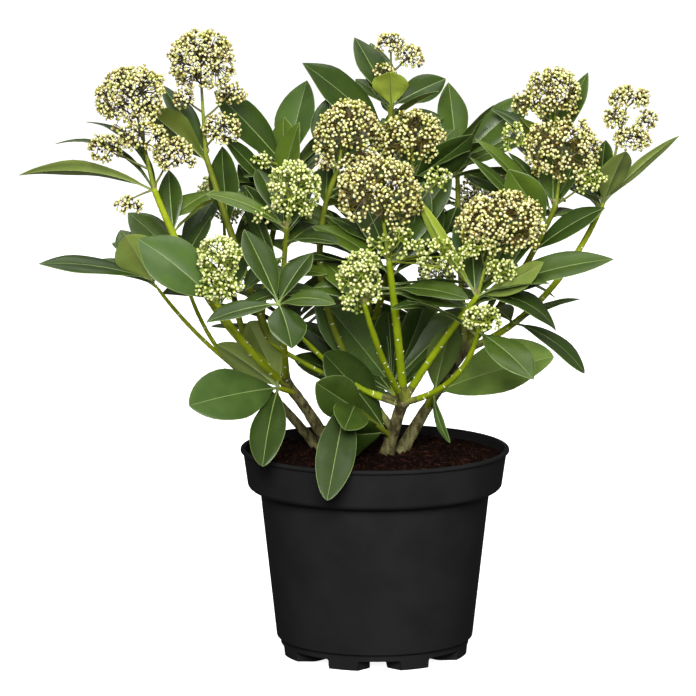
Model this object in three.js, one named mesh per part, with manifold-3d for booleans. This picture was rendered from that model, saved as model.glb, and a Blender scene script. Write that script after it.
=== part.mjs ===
// Potted skimmia in flower: a nursery pot filled with compost, five short woody trunks, green boughs,
// and at the end of each bough a mass of leaves, most of them round a domed head of buds.
// Millimetres, +Z up, origin at the middle of the pot's underside, -Y towards the front.
import * as THREE from 'three';
import { mergeVertices } from 'three/addons/utils/BufferGeometryUtils.js';
import Module from 'manifold-3d';

const wasm = await Module();
wasm.setup();

// Clearance between neighbouring pieces
const GAP = 0.3;

// Pot
const POT = {
  tall: 147, wall: 1.6, floor: 1.8, sides: 32,
  footRadius: 66.2, footTall: 12, footStep: 2.5, footEdge: 1,
  bodyHighRadius: 81.2, bodyTall: 117,
  bandLowRadius: 90, bandFoot: 122, bandHighRadius: 93.2,
  lipRadius: 95, lipTall: 4,
};
const DRAIN = { count: 8, wide: 31, lead: 2, funnel: 9, neck: 12, deep: 40, tall: 7, turn: -87.5 };

// Compost: its flat top is the ground level of the plant
const GROUND = 141;

// Trunks: foot on the compost, fork above it, diameters at foot and fork
const TRUNKS = [
  { name: 'left', foot: [-30, 12], fork: [-63, -14, 196], thick: 9.5, thin: 8 },
  { name: 'left_rear', foot: [-42, 32], fork: [-84, 20, 190], thick: 7.5, thin: 6.5 },
  { name: 'right', foot: [9, 6], fork: [20, -18, 183], thick: 10, thin: 9 },
  { name: 'right_rear', foot: [20, 20], fork: [64, 14, 214], thick: 9.5, thin: 7 },
  { name: 'rear', foot: [-12, 40], fork: [-8, 54, 205], thick: 10, thin: 8.5 },
];
const ROOT_FLARE = 0.35;
const FLARE_FADE = 7;
const KNUCKLE = 1.12;
const BELOW_GROUND = 14;

// Leaves: the blade's widest place, its share of thickness, fold along the midrib and stations along it
const LEAF = { taper: 1.15, thick: 0.014, fold: 0.16, petiole: 0.8, petioleThick: 0.6, spare: 0.4 };
const FULL_STATIONS = [0, 0.36, 0.7, 1];
const LEAN_STATIONS = [0, 0.52, 1];
const BLADE_STATIONS = [0.34, 0.52, 0.75, 1];

// Leaves that the growing rule adds
const RULE = {
  golden: 137.5, long: 78, longSpread: 0.3, wideShare: 0.34,
  lowRise: -28, highRise: 48, riseSpread: 16, droop: 26, droopSpread: 20, rollSpread: 24, tries: 5,
};

// The crown's space, which the tips of those leaves don't leave
const CROWN = { middle: [-14, 4, 290], wide: 396, deep: 330, tall: 250 };

// Flower heads: a body with sprays of buds all over it, on a stalk
const HEAD = {
  low: 1.4, between: 0.55, hollow: 0.68, fewSprays: 3,
  heart: 0.3, stalk: 1.8, sideStalk: 1.2, stalkTaper: 0.75, joint: 0.45,
};

// Shoots. from and at: parent limb and place along it. top: upper end of the leafy stem.
// bow: how far the line's middle is pulled aside. thick: diameter at the foot.
// leafy: length of stem with leaves; a shoot on a limb is leafy all along and has no bough.
// heads: [right, back, up from the top, wide, tall, sprays].
// leaves: [place along the leafy stem, bearing, rise, long, wide, droop, turn of upper face to the front].
// more: leaves that the rule adds.
const SHOOTS = [
  { name: 'left_high', from: 'left', at: 1, top: [-153, -30, 333], bow: [-10, 0, -26],
    thick: 6.4, leafy: 44,
    heads: [[-16, -2, 65, 50, 42, 9], [13, -8, 25, 34, 25, 4], [-34, 0, 28, 21, 20, 2],
      [-6, -15, 37, 32, 21, 3], [-18, -4, -11, 18, 13, 2]],
    leaves: [[0.97, 174, 6, 98, 26, 45, -35], [0.9, 145, 18, 94, 14, 40, 0],
      [0.85, 133, 30, 84, 16, 30, 0],
      [0.2, 100, 60, 50, 18, 20, 20], [0.25, 40, 28, 45, 18, 20, -30]], more: 0 },
  { name: 'left_top', from: 'left', at: 1, top: [-119, 15, 352], bow: [-2, 6, -4], thick: 6, leafy: 56,
    heads: [[-4, -5, 68, 47, 44, 9], [18, -5, 43, 20, 15, 2], [12, -10, 19, 25, 22, 2],
      [-15, -10, 40, 14, 14, 1]],
    leaves: [[0.9, 173, 40, 60, 24, 15, -50], [0.45, 335, -8, 56, 17, 40, 0],
      [0.5, 70, 45, 54, 20, 10, 10],
      [0.55, 226, -20, 46, 20, 20, 20]], more: 4 },
  { name: 'left_mid', from: 'left', at: 0.93, top: [-108, -85, 261], bow: [-4, -4, -8],
    thick: 5.6, leafy: 34,
    heads: [[2, -3, 31, 32, 35, 6], [2, -10, 12, 28, 18, 3]],
    leaves: [[0.72, 196, 40, 78, 36, 25, 50], [0.9, 58, 52, 57, 18, -20, 0]], more: 1 },
  { name: 'left_low', from: 'left_rear', at: 1, top: [-157, -10, 268], bow: [-4, 0, -10],
    thick: 3.4, leafy: 24,
    heads: [],
    leaves: [[0.97, 188, 9, 80, 25, 25, 20], [0.9, 222, 55, 42, 32, 15, -50],
      [0.85, 122, 34, 58, 20, 20, 10],
      [0.7, 150, 16, 54, 18, 20, 10], [0.9, 299, 10, 32, 14, 30, 0]], more: 1 },
  { name: 'left_thin', from: 'left_rear', at: 0.92, top: [-137, 10, 277], bow: [-12, 0, -24],
    thick: 3.4, leafy: 28,
    heads: [],
    leaves: [[0.95, 157, 40, 54, 24, 15, 20], [0.9, 158, 14, 56, 22, 20, 15],
      [0.9, 36, 53, 42, 20, 10, 10]], more: 2 },
  { name: 'front_left', from: 'left', at: 1, top: [-66, -105, 264], bow: [4, -12, -10],
    thick: 5, leafy: 24,
    heads: [],
    leaves: [[0.97, 205, -10, 54, 20, 25, 25], [0.97, 287, -38, 42, 27, 35, 0],
      [0.9, 332, 5, 46, 18, 60, -10],
      [0.97, 51, 41, 48, 22, 20, 0], [0.97, 126, 49, 62, 24, 10, 0]], more: 2 },
  { name: 'mid_left', from: 'left', at: 0.97, top: [-61, -45, 308], bow: [-6, 8, 0], thick: 5, leafy: 44,
    heads: [[4, -3, 27, 38, 44, 7], [-17, 0, 8, 12, 13, 1]],
    leaves: [[0.75, 325, 2, 46, 20, 30, 15], [0.45, 139, 40, 60, 22, 10, 10],
      [0.5, 222, -30, 42, 20, 20, 10]], more: 4 },
  { name: 'mid_top', from: 'right', at: 0.55, top: [-26, -15, 345], bow: [-58, -10, 8],
    thick: 5.4, leafy: 48,
    heads: [[6, 0, 24, 46, 52, 9]],
    leaves: [[0.45, 300, 5, 44, 18, 15, -20]], more: 6 },
  { name: 'back_left', from: 'left_rear', at: 1, top: [-63, 45, 340], bow: [-6, 8, 6],
    thick: 5, leafy: 46,
    heads: [[-18, -12, 6, 13, 12, 1]],
    leaves: [[0.92, 178, 39, 80, 26, 25, 38], [0.7, 204, 2, 52, 20, 20, 0], [1, 55, 67, 66, 27, 5, 0],
      [0.92, 250, 65, 42, 20, -10, -60], [0.8, 235, 8, 46, 24, 20, 0]], more: 4 },
  { name: 'top_mid', from: 'rear', at: 1, top: [12, 40, 386], bow: [0, 8, 6], thick: 5.4, leafy: 46,
    heads: [[-1, 0, 43, 19, 14, 2], [13, 0, 33, 18, 17, 2], [-5, 5, 22, 16, 12, 1]],
    leaves: [[0.95, 267, 39, 44, 26, 15, 0], [0.97, 134, 51, 60, 23, 10, 15],
      [0.97, 23, 23, 46, 22, 20, 50],
      [0.9, 178, 21, 70, 26, 25, 38]], more: 5 },
  { name: 'mid_right', from: 'rear', at: 0.96, top: [26, 10, 341], bow: [6, -6, 8], thick: 5.4, leafy: 44,
    heads: [[0, -2, 25, 51, 38, 8]],
    leaves: [[0.8, 164, 45, 52, 20, 10, 10], [0.8, 344, 29, 50, 24, 15, 10]], more: 5 },
  { name: 'right_back', from: 'right_rear', at: 1, top: [59, 55, 345], bow: [-2, 8, 6],
    thick: 5, leafy: 46,
    heads: [],
    leaves: [[1, 102, 62, 60, 27, 5, 0], [0.97, 6, 41, 72, 27, 15, 55], [0.84, 346, 24, 58, 22, 20, 30],
      [0.9, 290, 27, 46, 20, 30, 10], [0.8, 325, -17, 50, 22, 30, 20]], more: 4 },
  { name: 'front_mid', from: 'right', at: 1, top: [9, -65, 287], bow: [2, -8, -6], thick: 6.6, leafy: 34,
    heads: [[-8, -5, 49, 61, 49, 11], [4, -15, 15, 42, 22, 4], [33, -15, 5, 37, 28, 5],
      [34, 15, 54, 18, 21, 2]],
    leaves: [[0.4, 324, -2, 64, 22, 25, 20], [0.3, 340, -8, 54, 20, 25, 25],
      [0.3, 154, -15, 52, 22, 25, 20]], more: 4 },
  { name: 'front_low', from: 'right', at: 1, top: [-8, -95, 262], bow: [-2, -8, -8], thick: 5, leafy: 26,
    heads: [[-3, -3, 17, 31, 44, 7]],
    leaves: [[0.5, 200, -30, 46, 22, 25, 10]], more: 4 },
  { name: 'right_mid', from: 'right', at: 1, top: [70, -60, 263], bow: [-4, -4, 0], thick: 5.6, leafy: 28,
    heads: [[15, -2, 51, 64, 42, 11], [1, -15, 34, 23, 17, 2], [16, -15, 19, 20, 17, 2]],
    leaves: [[0.97, 3, 15, 98, 27, 25, 30], [0.97, 180, 59, 80, 13, -10, -30],
      [0.9, 20, -25, 70, 23, 30, 25],
      [0.9, 332, 14, 58, 18, 30, 10], [0.7, 196, -1, 58, 20, 25, 20]], more: 4 },
  { name: 'right_front', from: 'right', at: 0.97, top: [70, -82, 243], bow: [18, -6, -16],
    thick: 4.6, leafy: 24,
    heads: [[2, -8, 8, 25, 18, 3]],
    leaves: [[0.9, 310, -25, 62, 28, 25, 15]], more: 2 },
  { name: 'right_high', from: 'right_rear', at: 1, top: [126, -12, 320], bow: [4, -6, -10],
    thick: 5.4, leafy: 48,
    heads: [[5, 0, 38, 56, 44, 10], [23, -13, 18, 20, 18, 2], [-30, 2, 47, 15, 21, 2]],
    leaves: [[0.8, 235, 33, 52, 27, 10, 0], [0.2, 350, 28, 66, 23, 25, 25],
      [0.8, 41, 2, 42, 18, 20, 0]], more: 4 },
  { name: 'right_top', from: 'right_rear', at: 0.95, top: [128, 35, 354], bow: [6, 10, -12],
    thick: 5.2, leafy: 50,
    heads: [[-1, -3, 41, 39, 38, 7], [-20, -7, 33, 21, 18, 2]],
    leaves: [[1, 42, 59, 62, 22, 10, 0], [0.9, 216, 44, 42, 16, 0, -30]], more: 5 },
  { name: 'far_right', from: 'right_rear', at: 1, top: [160, 8, 319], bow: [14, 0, -28],
    thick: 5, leafy: 22,
    heads: [[18, 0, 74, 28, 15, 3], [8, -3, 60, 15, 15, 1], [30, 0, 58, 14, 14, 1],
      [20, -3, 45, 24, 17, 2]],
    leaves: [[0.97, 2, 42, 72, 17, 20, -10], [0.97, 290, 47, 56, 22, 15, 0],
      [0.9, 231, 23, 38, 16, 20, 10]], more: 4 },
  { name: 'right_low', on: 'far_right', at: 0.3, top: [98, -4, 236], thick: 3.4,
    heads: [],
    leaves: [[0.97, 350, -38, 68, 23, 45, 30], [0.97, 7, 19, 50, 13, 30, 10]], more: 2 },
  { name: 'right_foot', on: 'right_rear', at: 0.5, top: [42, -6, 187], thick: 3.6,
    heads: [],
    leaves: [[0.97, 338, 19, 94, 36, 20, 55], [0.9, 290, -44, 44, 8, 40, 60],
      [0.97, 294, 62, 58, 26, 10, 0]], more: 1 },
  { name: 'left_foot', on: 'left', at: 0.86, top: [-68, -30, 194], thick: 4,
    heads: [],
    leaves: [[0.97, 220, -3, 79, 40, 25, 55], [0.97, 260, -39, 73, 25, 30, 0],
      [0.9, 167, 33, 54, 24, 20, -20]], more: 0 },
  { name: 'low_front', on: 'right', at: 0.45, top: [-34, -55, 205], bow: [4, -4, -6], thick: 3.8,
    heads: [],
    leaves: [[1, 272, -50, 100, 31, 35, 0], [0.98, 336, -24, 52, 32, 30, 35],
      [0.95, 298, -17, 66, 26, 30, 25],
      [0.88, 20, -42, 58, 30, 25, 30], [0.5, 230, 18, 52, 24, 25, 50]], more: 0 },
  { name: 'mid_foot', on: 'right', at: 0.82, top: [11, 14, 190], bow: [0, 4, 0], thick: 4,
    heads: [],
    leaves: [[1, 190, 51, 84, 38, 10, 70], [0.97, 19, 42, 72, 32, 15, 60],
      [0.9, 62, 20, 62, 26, 20, 30]], more: 2 },
  { name: 'rear_left', from: 'left_rear', at: 0.95, top: [-108, 86, 278], bow: [-4, 10, -12],
    thick: 5.2, leafy: 44,
    heads: [[-2, 4, 34, 48, 38, 8]], leaves: [], more: 9 },
  { name: 'rear_mid', from: 'rear', at: 0.97, top: [-12, 112, 290], bow: [0, 12, -10],
    thick: 5.6, leafy: 44,
    heads: [[0, 4, 36, 54, 42, 9]], leaves: [], more: 9 },
  { name: 'rear_right', from: 'right_rear', at: 0.85, top: [84, 96, 280], bow: [4, 12, -10],
    thick: 5.4, leafy: 44,
    heads: [[2, 4, 34, 50, 40, 8]], leaves: [], more: 9 },
  { name: 'rear_low_left', from: 'rear', at: 0.86, top: [-62, 112, 222], bow: [-6, 8, -8],
    thick: 4.2, leafy: 30,
    heads: [], leaves: [], more: 9 },
  { name: 'rear_low_right', from: 'rear', at: 0.8, top: [46, 124, 226], bow: [6, 8, -8],
    thick: 4.4, leafy: 30,
    heads: [[0, 6, 22, 32, 36, 5]], leaves: [], more: 9 },
];
const BOUGH_TAPER = 0.82;
const STEM_TAPER = 0.8;

// Facets round and along the limbs
const TRUNK_SIDES = 7;
const TRUNK_STEPS = 4;
const BOUGH_SIDES = 5;
const BOUGH_STEPS = 4;
const STEM_SIDES = 4;
const STEM_STEPS = 2;

// Colours and finish of the pieces
const FINISH = {
  pot: { color: 0x232426, roughness: 0.55 },
  compost: { color: 0x2a1d15, roughness: 0.95 },
  trunk: { color: 0x6d6547, roughness: 0.85 },
  bough: { color: 0x7f9a2c, roughness: 0.5 },
  mass: { color: 0x3f6130, roughness: 0.4 },
};

const UP = new THREE.Vector3(0, 0, 1);
const FRONT = new THREE.Vector3(0, -1, 0);
const radians = THREE.MathUtils.degToRad;
const vector = (list) => new THREE.Vector3(...list);

// Seeded run of numbers from 0 to 1, the same each time
function seeded(seed) {
  let state = seed;
  return () => {
    state = (Math.imul(state, 1664525) + 1013904223) >>> 0;
    return state / 4294967296;
  };
}

// Closed solid from a geometry: shared corners merged, faces that have shrunk to a line left out
function solid(geometry) {
  const bare = new THREE.BufferGeometry();
  bare.setAttribute('position', geometry.getAttribute('position'));
  bare.setIndex(geometry.index);
  const merged = mergeVertices(bare, 1e-4);
  const corners = Array.from(merged.index.array);
  const faces = [];
  for (let i = 0; i < corners.length; i += 3) {
    const face = corners.slice(i, i + 3);
    if (new Set(face).size === 3) faces.push(...face);
  }
  return new wasm.Manifold(new wasm.Mesh({
    numProp: 3,
    vertProperties: new Float32Array(merged.getAttribute('position').array),
    triVerts: new Uint32Array(faces),
  }));
}

// The largest piece of a body, with any sealed hollow in it filled
function wholeBody(body) {
  const pieces = body.decompose().filter((piece) => piece.volume() > 0);
  return pieces.sort((a, b) => b.volume() - a.volume())[0];
}

function fused(pieces) {
  return wholeBody(pieces.reduce((body, piece) => body.add(piece)));
}

function piece(name, body, finish) {
  const { vertProperties, triVerts } = body.getMesh();
  const geometry = new THREE.BufferGeometry();
  geometry.setAttribute('position', new THREE.BufferAttribute(vertProperties, 3));
  geometry.setIndex(new THREE.BufferAttribute(triVerts, 1));
  const mesh = new THREE.Mesh(geometry, new THREE.MeshStandardMaterial({ ...FINISH[finish], metalness: 0 }));
  mesh.name = name;
  return mesh;
}

// Solid of revolution about Z from a list of [radius, height]
function turned(profile, sides) {
  const points = profile.map(([radius, height]) => new THREE.Vector2(radius, height));
  return solid(new THREE.LatheGeometry(points, sides).rotateX(Math.PI / 2));
}

// Pot outline from the edge of the underside to the top of the band; the inside is set in, with fewer turns
function potOutline(inset, foot) {
  const outline = [[POT.footRadius - inset, foot]];
  if (!inset) {
    outline.push([POT.footRadius + POT.footEdge, POT.footTall]);
    outline.push([POT.footRadius + POT.footEdge + POT.footStep, POT.footTall + POT.footEdge]);
  }
  outline.push([POT.bodyHighRadius - inset, POT.bodyTall]);
  const out = POT.bandLowRadius - POT.bodyHighRadius;
  const rise = POT.bandFoot - POT.bodyTall;
  for (const turn of inset ? [90] : [45, 90]) {
    const angle = radians(turn);
    const radius = POT.bodyHighRadius + out * Math.sin(angle) - inset;
    outline.push([radius, POT.bodyTall + rise * (1 - Math.cos(angle))]);
  }
  outline.push([POT.bandHighRadius - inset, POT.tall - POT.lipTall]);
  return outline;
}

// Drain pocket in from the foot: a wide mouth that narrows to a neck; spare leaves room for its own wall
function drainPocket(index, spare) {
  const mouth = DRAIN.wide / 2 + spare;
  const neck = DRAIN.neck / 2 + spare;
  const lead = POT.footRadius - DRAIN.lead;
  const end = POT.footRadius - DRAIN.deep - spare;
  const side = [[POT.lipRadius, mouth], [lead, mouth], [lead - DRAIN.funnel, neck], [end, neck]];
  const plan = [...side, ...side.map(([out, across]) => [out, -across]).reverse()];
  const shape = new THREE.Shape(plan.map(([out, across]) => new THREE.Vector2(out, across)));
  const depth = DRAIN.tall + spare + GAP;
  const geometry = new THREE.ExtrudeGeometry(shape, { depth, bevelEnabled: false });
  geometry.translate(0, 0, -GAP).rotateZ(radians(DRAIN.turn + (360 / DRAIN.count) * index));
  return solid(geometry);
}

function makePot() {
  const band = POT.tall - POT.lipTall;
  const lip = [
    [POT.lipRadius, band + POT.footEdge],
    [POT.lipRadius, POT.tall - POT.footEdge],
    [POT.lipRadius - POT.footEdge, POT.tall],
    [POT.bandHighRadius - POT.wall, POT.tall],
  ];
  const inside = potOutline(POT.wall, POT.floor).reverse();
  let pot = turned([[0, 0], ...potOutline(0, 0), ...lip, ...inside, [0, POT.floor]], POT.sides);
  const out = POT.footRadius - POT.wall / 2;
  const low = POT.floor / 2;
  const within = turned([[0, low], [out, low], [out, POT.footTall], [0, POT.footTall]], POT.sides);
  for (let i = 0; i < DRAIN.count; i++) pot = pot.add(drainPocket(i, POT.wall).intersect(within));
  for (let i = 0; i < DRAIN.count; i++) pot = pot.subtract(drainPocket(i, 0));
  return pot;
}

function makeCompost() {
  const side = potOutline(POT.wall + GAP, POT.floor + GAP).filter(([, height]) => height < GROUND);
  const last = side[side.length - 1];
  const rim = [POT.bandHighRadius - POT.wall - GAP, POT.tall - POT.lipTall];
  const share = (GROUND - last[1]) / (rim[1] - last[1]);
  const edge = last[0] + (rim[0] - last[0]) * share;
  let compost = turned([[0, POT.floor + GAP], ...side, [edge, GROUND], [0, GROUND]], POT.sides);
  for (let i = 0; i < DRAIN.count; i++) compost = compost.subtract(drainPocket(i, POT.wall + GAP));
  return compost;
}

// Round limb along a curve, with its radius given by the place along it
function limb(curve, radiusAt, sides, steps) {
  const geometry = new THREE.CylinderGeometry(1, 1, 1, sides, steps);
  const frames = curve.computeFrenetFrames(steps);
  const corners = geometry.getAttribute('position');
  for (let i = 0; i < corners.count; i++) {
    const step = Math.round((corners.getY(i) + 0.5) * steps);
    const radius = radiusAt(step / steps);
    const corner = curve.getPointAt(step / steps);
    corner.addScaledVector(frames.normals[step], radius * corners.getX(i));
    corner.addScaledVector(frames.binormals[step], -radius * corners.getZ(i));
    corners.setXYZ(i, corner.x, corner.y, corner.z);
  }
  return solid(geometry);
}

// Stretch of a curve between two places along it
function stretch(curve, start, end) {
  const points = [0, 0.25, 0.5, 0.75, 1].map((share) => curve.getPointAt(start + (end - start) * share));
  return new THREE.CatmullRomCurve3(points);
}

// Straight tapering twig that runs into what it carries
function twig(start, end, thick, thin) {
  const along = new THREE.Vector3().subVectors(end, start);
  const geometry = new THREE.CylinderGeometry(thin, thick, along.length(), 3);
  geometry.translate(0, along.length() / 2, 0);
  const turn = new THREE.Quaternion().setFromUnitVectors(new THREE.Vector3(0, 1, 0), along.normalize());
  geometry.applyQuaternion(turn);
  return solid(geometry.translate(start.x, start.y, start.z));
}

// A leaf's midrib is an arc in the plane of its chord and its upper face
function leafFrame({ base, bearing, rise, long, droop, turn }) {
  const flat = Math.cos(radians(rise));
  const chord = new THREE.Vector3(
    flat * Math.cos(radians(bearing)), flat * Math.sin(radians(bearing)), Math.sin(radians(rise)));
  const face = UP.clone().addScaledVector(chord, -chord.z).normalize();
  const side = new THREE.Vector3().crossVectors(chord, face);
  if (side.dot(FRONT) < 0) side.negate();
  face.multiplyScalar(Math.cos(radians(turn))).addScaledVector(side, Math.sin(radians(turn)));
  const bend = radians(Math.abs(droop) < 1 ? 1 : droop);
  return { base, chord, face, across: new THREE.Vector3().crossVectors(chord, face), bend, arc: long / bend };
}

function leafSolid(leaf, stations, spare = 0) {
  const { base, chord, face, across, bend, arc } = leafFrame(leaf);
  const segments = stations.length - 1;
  const geometry = new THREE.ConeGeometry(1, 1, 4, segments);
  const corners = geometry.getAttribute('position');
  for (let i = 0; i < corners.count; i++) {
    const place = stations[Math.round((corners.getY(i) + 0.5) * segments)];
    const angle = bend * (place - 0.5);
    const round = Math.hypot(corners.getX(i), corners.getZ(i)) || 1;
    const sideways = corners.getX(i) / round;
    const through = corners.getZ(i) / round;
    const blade = leaf.wide / 2 * Math.sin(Math.PI * place ** LEAF.taper);
    const half = Math.max(blade, LEAF.petiole) + spare;
    const thick = (place === 0 ? LEAF.petioleThick : leaf.long * LEAF.thick / 2) + spare;
    const normal = face.clone().multiplyScalar(Math.cos(angle)).addScaledVector(chord, Math.sin(angle));
    const corner = base.clone()
      .addScaledVector(chord, arc * (Math.sin(angle) + Math.sin(bend / 2)))
      .addScaledVector(face, arc * (Math.cos(angle) - Math.cos(bend / 2)))
      .addScaledVector(across, sideways * half)
      .addScaledVector(normal, through * thick + Math.abs(sideways) * blade * LEAF.fold);
    corners.setXYZ(i, corner.x, corner.y, corner.z);
  }
  return solid(geometry);
}

// Ways from the middle of a head to its sprays: a spiral over a dome
function sprayWays(count, random) {
  const turn = 360 * random();
  return Array.from({ length: count }, (_, i) => {
    const height = 1 - HEAD.low * (i + 0.5) / count;
    const out = Math.sqrt(1 - height * height);
    const angle = radians(turn + RULE.golden * i);
    return new THREE.Vector3(out * Math.cos(angle), out * Math.sin(angle), height);
  });
}

// Body of a head: a ball drawn out to each of its sprays of buds
function headBody([, , , wide, tall, count], centre, random) {
  const ways = sprayWays(count, random);
  const large = count > HEAD.fewSprays;
  const geometry = new THREE.IcosahedronGeometry(1, large ? 1 : 0);
  const corners = geometry.getAttribute('position');
  for (let i = 0; i < corners.count; i++) {
    const way = new THREE.Vector3().fromBufferAttribute(corners, i).normalize();
    const nearest = Math.max(...ways.map((spray) => spray.dot(way)));
    const swell = large ? THREE.MathUtils.smoothstep(nearest, HEAD.between, 1) : 1;
    way.multiplyScalar(HEAD.hollow + (1 - HEAD.hollow) * swell);
    corners.setXYZ(i, centre.x + way.x * wide / 2, centre.y + way.y * wide / 2, centre.z + way.z * tall / 2);
  }
  return solid(geometry);
}

// Leaves of a shoot: the ones set out in its row, then those of the rule
function leavesOf(shoot, stem, random) {
  const at = (place) => stem.getPointAt(place);
  const shown = shoot.leaves.map(([place, bearing, rise, long, wide, droop, turn]) => (
    { base: at(place), bearing, rise, long, wide, droop, turn, stations: FULL_STATIONS }));
  const around = 360 * random();
  const spread = (amount) => amount * (2 * random() - 1);
  const added = Array.from({ length: shoot.more }, (_, i) => {
    const place = 0.25 + 0.7 * (i + 0.5) / shoot.more;
    const long = RULE.long * (1 - RULE.longSpread * random());
    return {
      base: at(place), bearing: around + RULE.golden * i + spread(RULE.riseSpread), long,
      rise: RULE.lowRise + (RULE.highRise - RULE.lowRise) * place + spread(RULE.riseSpread),
      wide: long * RULE.wideShare, stations: LEAN_STATIONS,
      droop: RULE.droop + spread(RULE.droopSpread), turn: spread(RULE.rollSpread),
    };
  });
  return { shown, added };
}

// Everything placed so far, for testing whether a new twig or leaf would touch it
const placed = [];

function boxesMeet(a, b) {
  return [0, 1, 2].every((axis) => a.min[axis] <= b.max[axis] && b.min[axis] <= a.max[axis]);
}

function meets(body, others) {
  const box = body.boundingBox();
  return others.some((other) => boxesMeet(box, other.box) && !body.intersect(other.body).isEmpty());
}

function place(owner, body, blade = body) {
  placed.push({ owner, body, box: body.boundingBox(), blade });
}

function isFree(owner, body) {
  return !meets(body, placed.filter((other) => other.owner !== owner));
}

function crossesOwn(owner, blade) {
  const own = placed.filter((other) => other.owner === owner && other.blade);
  return meets(blade, own.map((other) => ({ body: other.blade, box: other.blade.boundingBox() })));
}

// Trunks: from below ground to a knuckle at the fork, cut off level at the ground
const limbs = new Map();
const ground = solid(new THREE.BoxGeometry(400, 400, 100).translate(0, 0, GROUND + GAP - 50));

function makeTrunk({ name, foot, fork, thick, thin }) {
  const top = vector(fork);
  const start = new THREE.Vector3(...foot, GROUND);
  const lean = new THREE.Vector3().subVectors(top, start).normalize();
  const bend = start.clone().lerp(top, 0.5).add(new THREE.Vector3(0, 0, 5));
  start.addScaledVector(lean, -BELOW_GROUND);
  const curve = new THREE.QuadraticBezierCurve3(start, bend, top);
  const buried = BELOW_GROUND / curve.getLength();
  const radiusAt = (share) => {
    const above = Math.max(share - buried, 0);
    return (thick + (thin - thick) * above) / 2 * (1 + ROOT_FLARE * Math.exp(-FLARE_FADE * above));
  };
  const body = (spare) => {
    const knuckle = new THREE.IcosahedronGeometry(thin / 2 * KNUCKLE + spare, 0).translate(...fork);
    const tube = limb(curve, (share) => radiusAt(share) + spare, TRUNK_SIDES, TRUNK_STEPS);
    return tube.add(solid(knuckle)).subtract(ground);
  };
  limbs.set(name, { curve, cutter: body(GAP) });
  return wholeBody(body(0));
}

// Takes away what would run into the limbs that are already there
function cutClear(body) {
  let cut = body;
  for (const { cutter } of limbs.values()) cut = cut.subtract(cutter);
  return wholeBody(cut);
}

// A shoot's whole line from its parent limb to the top of its leafy stem
function shootLine({ from, on, at, top, bow = [0, 0, 0] }) {
  const start = limbs.get(from ?? on).curve.getPointAt(at);
  const end = vector(top);
  const middle = start.clone().lerp(end, 0.5).add(vector(bow));
  return new THREE.QuadraticBezierCurve3(start, middle, end);
}

function makeBough(shoot, line, split) {
  const curve = stretch(line, 0, split);
  const radiusAt = (share) => shoot.thick / 2 * (1 - (1 - BOUGH_TAPER) * share);
  const bough = cutClear(limb(curve, radiusAt, BOUGH_SIDES, BOUGH_STEPS));
  const cutter = limb(curve, (share) => radiusAt(share) + GAP, BOUGH_SIDES, BOUGH_STEPS);
  limbs.set(shoot.name, { curve, cutter });
  return bough;
}

function makeStem(shoot, curve) {
  const foot = shoot.thick / 2 * (shoot.from ? BOUGH_TAPER : 1);
  const stem = limb(curve, (share) => foot * (1 - (1 - STEM_TAPER) * share), STEM_SIDES, STEM_STEPS);
  return shoot.from ? stem : cutClear(stem);
}

// Stalk and body of each of a shoot's flower heads; the side ones branch from the stalk of the first
function headPieces(shoot, random) {
  const top = vector(shoot.top);
  let mainHeart = null;
  return shoot.heads.map((head) => {
    const [right, back, up, , tall] = head;
    const centre = top.clone().add(new THREE.Vector3(right, back, up));
    const heart = centre.clone().addScaledVector(UP, -tall * HEAD.heart);
    const start = top.clone();
    if (mainHeart) start.lerp(mainHeart, Math.min(HEAD.joint * up / (mainHeart.z - top.z), 1));
    const thick = mainHeart ? HEAD.sideStalk : HEAD.stalk;
    mainHeart ??= heart;
    return [headBody(head, centre, random), twig(start, heart, thick, thick * HEAD.stalkTaper)];
  });
}

const plant = new THREE.Group();
plant.name = 'potted_skimmia';
for (const [name, body] of [['pot', makePot()], ['compost', makeCompost()]]) {
  place('limbs', body);
  plant.add(piece(name, body, name));
}

for (const trunk of TRUNKS) {
  const body = makeTrunk(trunk);
  place('limbs', body);
  plant.add(piece(`trunk_${trunk.name}`, body, 'trunk'));
}

// Boughs first, then the stems and heads of all masses, then the leaves that show, then those of the rule
const masses = SHOOTS.map((shoot, index) => {
  const random = seeded(1000 + 77 * index);
  const line = shootLine(shoot);
  const long = line.getLength();
  const split = shoot.from ? 1 - shoot.leafy / long : 0;
  if (shoot.from) {
    const bough = makeBough(shoot, line, split);
    place('limbs', bough);
    plant.add(piece(`bough_${shoot.name}`, bough, 'bough'));
  }
  return { shoot, random, curve: stretch(line, shoot.from ? split + GAP / long : 0, 1), bodies: [] };
});

for (const { shoot, curve, bodies } of masses) {
  const stem = makeStem(shoot, curve);
  place(shoot.name, stem, null);
  bodies.push(stem);
}

for (const { shoot, random, bodies } of masses) {
  for (const parts of headPieces(shoot, random)) {
    if (!parts.every((part) => isFree(shoot.name, part))) continue;
    for (const part of parts) place(shoot.name, part, part === parts[0] ? part : null);
    bodies.push(...parts);
  }
}

function inCrown({ base, bearing, rise, long }) {
  const flat = long * Math.cos(radians(rise));
  const tip = new THREE.Vector3(
    flat * Math.cos(radians(bearing)), flat * Math.sin(radians(bearing)), long * Math.sin(radians(rise)));
  tip.add(base).sub(vector(CROWN.middle));
  return Math.hypot(tip.x / CROWN.wide, tip.y / CROWN.deep, tip.z / CROWN.tall) < 0.5;
}

// Adds a leaf to its mass if it touches nothing; tells whether it did
function growLeaf({ shoot, bodies }, leaf) {
  const blade = leafSolid(leaf, BLADE_STATIONS, LEAF.spare);
  if (crossesOwn(shoot.name, blade)) return false;
  if (!isFree(shoot.name, leafSolid(leaf, leaf.stations, LEAF.spare))) return false;
  const body = leafSolid(leaf, leaf.stations);
  place(shoot.name, body, blade);
  bodies.push(body);
  return true;
}

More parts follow.
